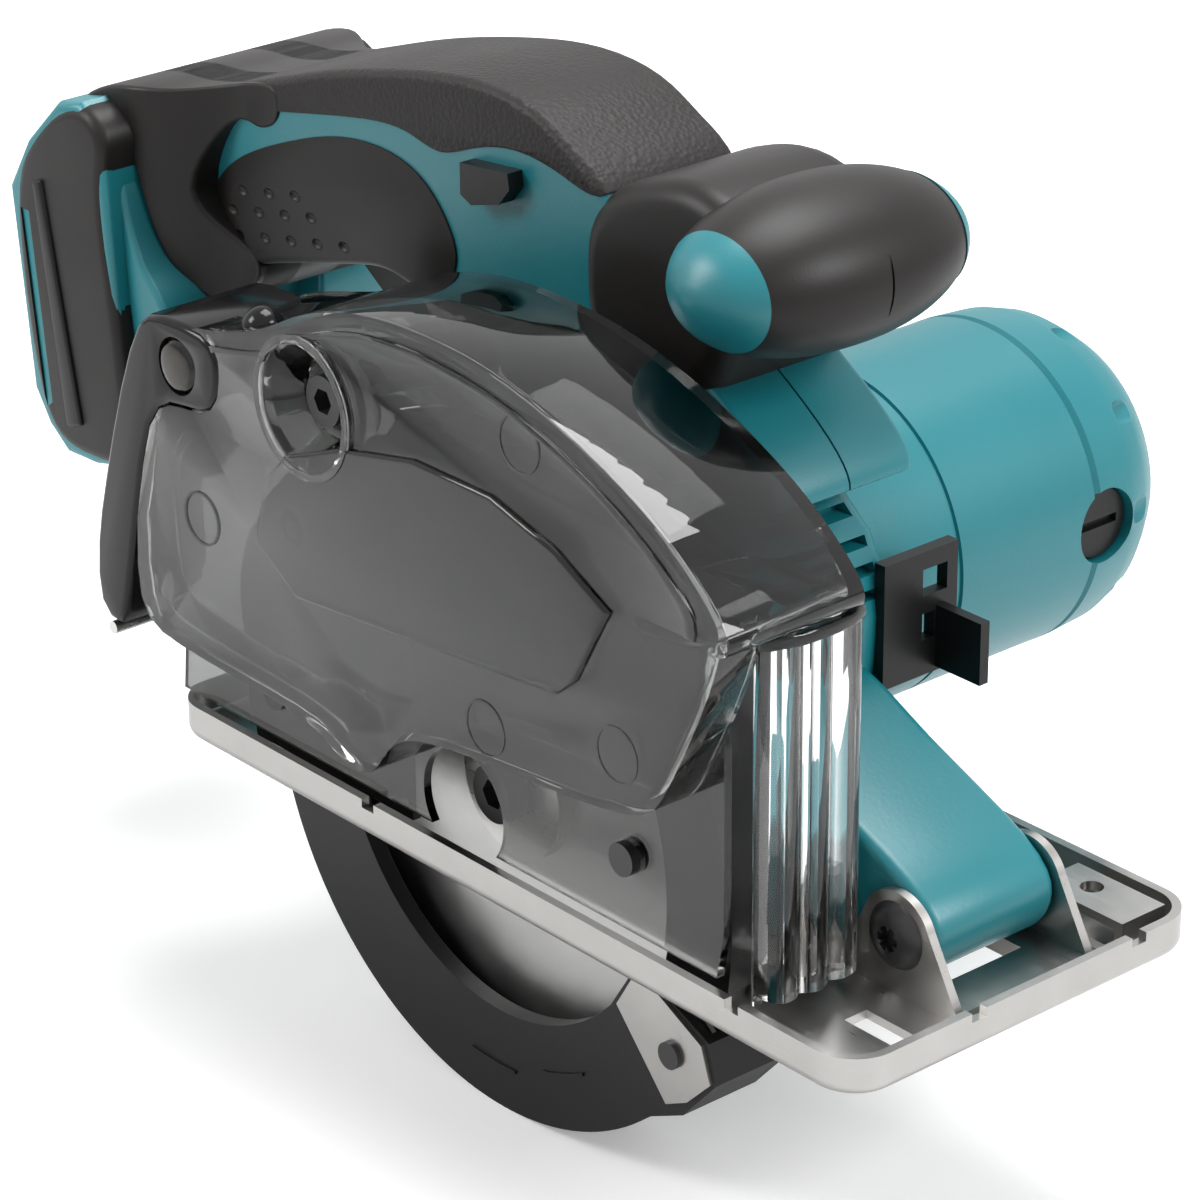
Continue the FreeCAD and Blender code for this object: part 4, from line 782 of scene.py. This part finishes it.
    def dimple(self, pad: Shape) -> Shape:
        """Four staggered rows of small hollows on each palm pad."""
        rows = [(-126, 108.5, 3), (-130, 103, 4), (-128, 97.5, 5), (-124, 92, 4)]
        for start, up, count in rows:
            for place in range(count):
                x = start + place * 9.6
                z = up + place * 1.9
                for side in (-1, 1):
                    ball = Shape.ball((x, side * (self.half + 1.2), z), (2.3, 1.5, 1.5), 8)
                    pad.cut(ball)
        return pad


@dataclass
class FrontGrip:
    """The neck and the egg-shaped front grip that lies across the saw."""

    fore: float = 41.
    up: float = 133.5
    half: float = 35.6
    radius: float = 21.
    flat: float = .82

    neck = [(-9, 106), (-10, 124), (-9, 133), (-3, 141), (10, 147), (26, 150), (44, 142), (38, 124), (30, 108),
            (28, 104), (10, 102)]

    def egg(self) -> Shape:
        """The grip's form, a blunt ellipsoid."""
        profile = [(-self.half, 0)]
        for step in range(1, 24):
            along = -self.half + 2 * self.half * step / 24
            profile.append((along, self.radius * (1 - (abs(along) / self.half) ** 2.2) ** .5))
        profile.append((self.half, 0))
        egg = Shape.lathe(profile, (self.fore, 0, self.up), Axis.Y, 96, 1)
        bmesh.ops.scale(egg.bm, vec=(1, 1, self.flat), verts=egg.bm.verts[:],
                        space=Matrix.Translation((0, 0, -self.up)))
        return egg

    def build(self) -> None:
        """Makes the grip's pieces."""
        egg = self.egg()
        groove = Shape.lathe([(-.3, 30), (.3, 30), (.3, self.radius - .5), (-.3, self.radius - .5), (-.3, 30)],
                             (self.fore, 0, self.up))
        egg.cut(groove)
        egg.finish("front_grip", Finish.SOFT, instead_of=("front_grip_right", "front_grip_left"))
        Shape.slab(self.neck, -20, 20, 2).bevel(7, 6, 60).finish("front_neck", Finish.SOFT)
        inlay = self.egg().grow(.25)
        near = Shape.rod((self.fore, -self.half - 2, self.up), 17, 11)
        far = Shape.rod((self.fore, self.half - 9, self.up), 17, 11)
        for cutter in (near, far):
            bmesh.ops.scale(cutter.bm, vec=(1, 1, .72), verts=cutter.bm.verts[:],
                            space=Matrix.Translation((0, 0, -self.up)))
        pads = self.egg().grow(.25).keep(near).with_(inlay.keep(far))
        pads.finish("grip_inlays", Finish.TEAL, instead_of=("grip_inlays",))


@dataclass
class Motor:
    """The motor's housing, a round teal drum whose far end narrows to a vented nose."""

    fore: float = 3.
    up: float = 50.
    start: float = 14.
    end: float = 112.
    radius: float = 37.5
    nose: float = 29.

    def build(self) -> None:
        """Makes the drum with its seam, nose and vents."""
        length = self.end - self.start
        r = self.radius
        profile = [(0, 0), (0, r), (3, r), (20, r), (28.2, r), (28.5, r - .7), (29.3, r - .7), (29.6, r),
                   (52, r), (66, r), (70, r + .1), (71, r - .8), (72, r + .1), (82, r - .6), (88, r - 2.4), (92, r - 5),
                   (length - 2, self.nose + .5), (length, self.nose - 2), (length, 24), (length - 1.6, 23),
                   (length - 1.6, 11), (length, 10), (length, 0)]
        drum = Shape.lathe(profile, (self.fore, self.start, self.up), Axis.Y, 128)
        for step in range(10):
            angle = 18 + step * 36
            slot = Shape.block((-3, self.end - 15, self.radius - 3.5), (3, self.end - 4, self.radius + 4)).bevel(2.4, 3, 60)
            bmesh.ops.translate(slot.bm, verts=slot.bm.verts[:], vec=(self.fore, 0, self.up))
            slot.turn((self.fore, 0, self.up), Axis.Y, angle)
            drum.cut(slot)
        for step in range(12):
            grille = Shape.block((13, self.end - 5, -1.3), (21.5, self.end + 2, 1.3)).bevel(1.1, 3, 60)
            bmesh.ops.translate(grille.bm, verts=grille.bm.verts[:], vec=(self.fore, 0, self.up))
            drum.cut(grille.turn((self.fore, 0, self.up), Axis.Y, step * 30 + 15))
        for side in (-1, 1):
            drum.cut(Shape.rod((self.fore, 88, self.up), 8.6, side * 60, Axis.X))
        drum.finish("motor_drum", Finish.TEAL, instead_of=("motor_housing",))


@dataclass
class GearCase:
    """The painted gear housing with its arm and ribs."""

    near: float = -22.
    far: float = 14.

    shell = [(-30, 4), (28, 4), (46, 26), (50, 44), (50, 86), (-36, 86), (-40, 56), (-40, 30)]
    arm = [(16, 50), (50, 48), (66, 38), (101, 25.2), (106.5, 15), (101, 6), (96, 4.8), (40, 7), (20, 7)]

    def build(self) -> None:
        """Makes the housing and its tilt arm."""
        body = Shape.slab(self.shell, self.near, self.far, 2).bevel(4, 4, 60)
        arm = Shape.slab(self.arm, -27, 7, 2).bevel(2.6, 4, 60)
        body.add(arm)
        for step in range(4):
            z = 60 + step * 5.2
            body.cut(Shape.block((36, -16, z), (60, 10, z + 2.2)))
        body.finish("gear_case", Finish.TEAL_METAL, instead_of=("gear_housing",))


@dataclass
class DustBox:
    """The smoky box that gathers the chips, with its clear bolt well and raised panel."""

    near: float = -72.
    wall: float = 2.
    bolt: Point = (-34., 99.)

    side = [(-101, 33, 1), (-88, 28, 1), (-38, 28, 1), (-30, 24), (-22, 20.5), (-14, 23, 1), (-9, 33), (3, 37.5),
            (30, 40), (70, 43.5, 1), (76, 52), (95, 91, 1), (88, 98), (76, 107), (52, 118), (24, 125.5), (-4, 126),
            (-20, 124), (-38, 118), (-50, 109.5, 1), (-64, 107, 1), (-88, 102, 1)]
    hood = [(-88, 102, 1), (-88, 86, 1), (-40, 82), (60, 82), (80, 86, 1), (93, 86, 1), (95, 91, 1), (88, 98),
            (76, 107), (52, 118), (24, 125.5), (-4, 126), (-20, 124), (-38, 118), (-50, 109.5, 1)]
    panel = [(-52, 64), (-47, 80), (-40, 87), (-22, 94), (2, 99), (26, 99), (45, 94), (61, 86), (51, 68), (45, 63),
             (-38, 55)]

    def shell(self) -> Shape:
        """The box's outer form."""
        outer = Shape.slab(self.side, self.near, -61.5, 2)
        return outer.add(Shape.slab(self.hood, self.near, -37.5, 2)).bevel(2.6, 4, 50, lambda c: c.y < -68)

    def build(self) -> None:
        """Makes the box, its door frame's seat cut away."""
        x, z = self.bolt
        box = self.shell()
        inner = Shape.slab(self.inset(self.side, (-4, 72), .955), self.near + self.wall, -50, 2)
        inner.add(Shape.slab(self.inset(self.hood, (2, 100), .955), self.near + self.wall, -39.8, 2))
        box.cut(inner)
        box.cut(Shape.rod((0, -61, 17.2), 78.4, 40, steps=96))
        panel = Shape.slab(self.panel, self.near - 1.3, self.near + .6, 0).bevel(1, 3, 50, lambda c: c.y < -73)
        box.add(panel)
        ridge = Shape.slab(self.inset(self.side, (-4, 72), .93), self.near - .7, self.near + .5, 2)
        ridge.cut(Shape.slab(self.inset(self.side, (-4, 72), .9), self.near - 3, self.near + 3, 2))
        ridge.cut(Shape.block((-140, -80, -20), (120, -60, 88)))
        box.add(ridge.bevel(.3, 2, 50))
        box.add(Shape.rod((x, self.near - .6, z), 15.5, 9, taper=.66))
        box.cut(Shape.rod((x, self.near - .7, z), 13.8, 8.1, taper=.62))
        box.cut(ChipDoor().form(.25))
        box.bevel(.25, 2, 60)
        box.finish("dust_box_shell", Finish.SMOKY, instead_of=("dust_box",))
        Shape.ball((-58, -64, 107.5), (4.6, 4.6, 4.6)).finish("box_knob", Finish.GLOSSY)
        marks = Shape()
        for place in ((62, 56), (-72, 62), (22, 47), (34, 112)):
            marks.with_(Shape.lathe([(0, 5.6), (0, 6.1), (.5, 6.1), (.5, 5.6), (0, 5.6)],
                                    (place[0], self.near - .2, place[1]), steps=40))
        marks.finish("ejector_marks", Finish.SMOKY)
        ring = Shape.lathe([(0, 13.9), (0, 15.6), (1.4, 15.4), (1.4, 13.7), (0, 13.9)], (x, self.near - 1.5, z))
        ring.finish("well_rim", Finish.CLEAR)

    @staticmethod
    def inset(outline: list[Point], centre: Point, ratio: float) -> list[Point]:
        """The outline drawn in towards a point."""
        return [(centre[0] + (c[0] - centre[0]) * ratio, centre[1] + (c[1] - centre[1]) * ratio, *c[2:])
                for c in outline]


@dataclass
class ChipDoor:
    """The black emptying door at the back of the box, with its latch and lens."""

    frame = [(-113, 28), (-104, 24.5), (-101, 34), (-96, 56), (-90, 80), (-82, 86), (-70, 86), (-64, 91), (-63.5, 101),
             (-68, 105), (-84, 105), (-92, 102.5), (-100, 85), (-108, 60), (-112.5, 44)]

    def form(self, more: float = 0.) -> Shape:
        """The door's form, a little larger where it is cut from the box."""
        door = Shape.slab(self.frame, -72.4 - more * 4, -42.5, 1)
        return door.grow(more) if more else door

    def build(self) -> None:
        """Makes the door and the lens of its latch."""
        door = self.form().bevel(1.6, 4, 60)
        door.cut(Shape.rod((-78, -73.6, 95), 6.4, 3.4))
        door.cut(Shape.block((-60, -66, 60), (-96, -44, 103)))
        back = Shape.slab([(-104, 92), (-112, 60), (-116, 40), (-112, 40), (-106, 60), (-98, 88)], -66, -48, 1)
        door.cut(back.bevel(1, 2, 60))
        door.bevel(.3, 2, 60).finish("chip_door_body", Finish.GLOSSY, "door", ("chip_door",))
        lens = Shape.lathe([(0, 0), (0, 3.5), (.4, 5), (1.4, 5.9), (3, 5.9), (3, 0)], (-78, -73.2, 95), steps=48)
        lens.finish("latch_lens", Finish.AMBER, "latch", ("latch_button",))


@dataclass
class Window:
    """The clear ribbed window in front of the blade, and the flange above it."""

    ribs = [(79.5, -56.5), (88.5, -57), (91.5, -54.5), (91, -50.6), (89.2, -49.6), (91.8, -47.5), (91.8, -43.5),
            (89.2, -41.8), (91.6, -40), (91, -34.5), (88.5, -33.2), (79.5, -33.5)]
    flange = [(58, -71.5), (80, -70.5), (93, -60), (94.5, -46), (93, -34), (84, -33), (60, -34)]

    def build(self) -> None:
        """Makes the window and flange."""
        window = Shape.slab(self.ribs, 4, 84, 2, Axis.Z)
        window.cut(Shape.block((70, -54, 0), (86.5, -36, 90)))
        window.cut(Shape.block((84, -62, -5), (100, -30, 7)).bevel(1.5, 3))
        window.finish("window_ribs", Finish.CLEAR, instead_of=("front_window",))
        Shape.slab(self.flange, 84.2, 87, 1, Axis.Z).bevel(.7, 3, 60).finish("hood_flange", Finish.CLEAR)


@dataclass
class PivotScrews:
    """The two black pan-head screws that the sole tilts on."""

    fore: float = 96.
    up: float = 15.
    radius: float = 7.4

    def head(self, at: float, side: int) -> Shape:
        """One domed head with a six-lobed recess.

        Args:
            at: where it seats.
            side: -1 where it faces the blade's side, 1 the motor's.

        Returns:
            The head.
        """
        r = self.radius
        profile = [(0, 0), (0, r), (side * .8, r), (side * 2.2, r * .86), (side * 3.2, r * .6), (side * 3.5, 0)]
        dome = Shape.lathe(profile, (self.fore, at, self.up), steps=48, rounds=1)
        for lobe in range(3):
            bar = Shape.block((self.fore - 2.7, at + min(side * 1.4, side * 5), self.up - .85),
                              (self.fore + 2.7, at + max(side * 1.4, side * 5), self.up + .85))
            dome.cut(bar.turn((self.fore, at, self.up), Axis.Y, 60 * lobe))
        return dome

    def build(self) -> None:
        """Makes both heads."""
        low, high = (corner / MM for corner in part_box("pivot_screws"))
        pair = self.head(low.y + 3.5, -1).with_(self.head(high.y - 3.5, 1))
        pair.finish("pivot_screw_heads", Finish.BLACK_STEEL, "base", ("pivot_screws",))


@dataclass
class GuardLines:
    """The two thin ribs moulded along the guard's near face."""

    up: float = 17.2
    face: float = -53.

    def build(self) -> None:
        """Makes both ribs as short arcs."""
        both = Shape()
        for radius, start, sweep in ((61., 62., 13.), (63.5, 84., 13.)):
            rib = Shape()
            bm = rib.bm
            corners_ = [bm.verts.new((radius + a, self.face + b, self.up)) for a, b in
                        ((0, .1), (0, -.45), (.7, -.45), (.7, .1))]
            bmesh.ops.contextual_create(bm, geom=corners_)
            bmesh.ops.spin(bm, geom=bm.faces[:], cent=(0, self.face, self.up), axis=(0, 1, 0),
                           angle=math.radians(sweep), steps=14)
            bmesh.ops.recalc_face_normals(bm, faces=bm.faces[:])
            both.with_(rib.turn((0, self.face, self.up), Axis.Y, start))
        both.finish("guard_ribs", Finish.BLACK, "guard")


def dress_frame() -> None:
    """Gives every CAD node the material of its record slot."""
    record = frame["record"]
    by_node = {part["node"]: part["material_slot"] for part in record["subparts"]}
    for name, node in frame["nodes"].items():
        finish = BY_SLOT.get(by_node.get(name, ""), Finish.BLACK)
        node.data.materials.clear()
        node.data.materials.append(dressed(finish))
        LOG.info("%s keeps its CAD shape in %s", name, finish.name)


# ---------------------------------------------------------------- studio


@dataclass
class Studio:
    """The floor, the light and the camera."""

    azimuth: float = 49.3809
    elevation: float = 24.6424
    roll: float = -.4891
    lens: float = 135.0375
    place: tuple[float, float, float] = (647.0, -577.7, 443.6)

    def camera(self) -> None:
        """Puts the camera where it sees the saw's blade side and front."""
        az, el, roll = (math.radians(a) for a in (self.azimuth, self.elevation, self.roll))
        back = Vector((math.sin(az) * math.cos(el), -math.cos(az) * math.cos(el), math.sin(el)))
        level = Vector((math.cos(az), math.sin(az), 0))
        upward = back.cross(level)
        right = level * math.cos(roll) + upward * math.sin(roll)
        up = -level * math.sin(roll) + upward * math.cos(roll)
        camera = bpy.data.cameras.new("camera")
        camera.lens, camera.sensor_width = self.lens, 36
        camera.clip_start, camera.clip_end = .05, 20
        holder = bpy.data.objects.new("camera", camera)
        turn = Matrix((right, up, back)).transposed().to_4x4()
        holder.matrix_world = Matrix.Translation(Vector(self.place) * MM) @ turn
        bpy.context.scene.collection.objects.link(holder)
        bpy.context.scene.camera = holder

    def floor(self, level: float) -> None:
        """Lays a pale round floor under the saw's lowest point."""
        bm = bmesh.new()
        bmesh.ops.create_circle(bm, cap_ends=True, segments=96, radius=6, matrix=Matrix.Translation((0, 0, level)))
        mesh = bpy.data.meshes.new("floor")
        bm.to_mesh(mesh)
        bm.free()
        material, shader = blank("pale floor")
        shader.inputs["Base Color"].default_value = (.9, .9, .9, 1)
        shader.inputs["Roughness"].default_value = .6
        shader.inputs["Specular IOR Level"].default_value = .2
        shader.inputs["Emission Color"].default_value = (1, 1, 1, 1)
        link = material.node_tree.links.new
        path = material.node_tree.nodes.new("ShaderNodeLightPath")
        where = material.node_tree.nodes.new("ShaderNodeTexCoord")
        away = material.node_tree.nodes.new("ShaderNodeVectorMath")
        away.operation = "LENGTH"
        link(where.outputs["Object"], away.inputs[0])
        # Painted light: the floor glows for camera rays at strength .3 within 0.3 m of the middle, rising to full white
        # by 1.3 m, so the glow is weaker round the saw and the floor there reads darker.
        fade = material.node_tree.nodes.new("ShaderNodeMapRange")
        for label, amount in (("From Min", .3), ("From Max", 1.3), ("To Min", .3), ("To Max", 1.)):
            fade.inputs[label].default_value = amount
        link(away.outputs["Value"], fade.inputs["Value"])
        glow = material.node_tree.nodes.new("ShaderNodeMath")
        glow.operation = "MULTIPLY"
        link(path.outputs["Is Camera Ray"], glow.inputs[0])
        link(fade.outputs["Result"], glow.inputs[1])
        link(glow.outputs[0], shader.inputs["Emission Strength"])
        mesh.materials.append(material)
        floor = bpy.data.objects.new("floor", mesh)
        bpy.context.scene.collection.objects.link(floor)
        floor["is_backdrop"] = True

    def lamp(self, name: str, place: tuple[float, float, float], aim: tuple[float, float, float], size: float,
             power: float) -> None:
        """Hangs one square soft lamp.

        Args:
            name: its name.
            place: where it hangs, in metres.
            aim: the point it faces.
            size: its side, in metres.
            power: its power, in watts.
        """
        light = bpy.data.lights.new(name, "AREA")
        light.size, light.energy = size, power
        holder = bpy.data.objects.new(name, light)
        holder.location = place
        holder.rotation_euler = (Vector(aim) - Vector(place)).to_track_quat("-Z", "Y").to_euler()
        bpy.context.scene.collection.objects.link(holder)

    def light(self) -> None:
        """Sets up the lamps and the pale surroundings."""
        middle = (-.03, 0, .06)
        self.lamp("overhead", (-.1, .25, 1.2), middle, .7, 16)
        self.lamp("left", (-.7, -.9, .8), middle, .5, 9)
        self.lamp("right", (1.1, .35, .8), middle, .5, 11)
        world = bpy.data.worlds.new("surroundings")
        world.use_nodes = True
        bpy.context.scene.world = world
        nodes, link = world.node_tree.nodes, world.node_tree.links.new
        path = nodes.new("ShaderNodeLightPath")
        seen = nodes.new("ShaderNodeMath")
        seen.operation = "MAXIMUM"
        clear = nodes.new("ShaderNodeMath")
        clear.operation = "MAXIMUM"
        link(path.outputs["Is Camera Ray"], clear.inputs[0])
        link(path.outputs["Is Transmission Ray"], clear.inputs[1])
        link(clear.outputs[0], seen.inputs[0])
        link(path.outputs["Is Glossy Ray"], seen.inputs[1])
        level = nodes.new("ShaderNodeMapRange")
        level.inputs["To Min"].default_value, level.inputs["To Max"].default_value = .3, 1.
        link(seen.outputs[0], level.inputs["Value"])
        link(level.outputs[0], nodes["Background"].inputs["Strength"])
        nodes["Background"].inputs["Color"].default_value = (1, 1, 1, 1)
        bpy.context.scene.view_settings.view_transform = "Standard"


def corners() -> list[list[float]]:
    """The present box of everything shown, as two plain corners."""
    return [[float(c) for c in corner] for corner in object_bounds()]


CAD_BOX = corners()


def main() -> None:
    """Builds the saw's pieces in order, then the studio."""
    logging.basicConfig(level=logging.INFO, format="%(message)s")
    dress_frame()
    for assembly in (Handle(), FrontGrip(), Motor(), GearCase(), DustBox(), ChipDoor(), Window(),
                     PivotScrews(), GuardLines()):
        assembly.build()
    studio = Studio()
    studio.camera()
    studio.floor(CAD_BOX[0][2])
    studio.light()


if __name__ == "__main__":
    main()
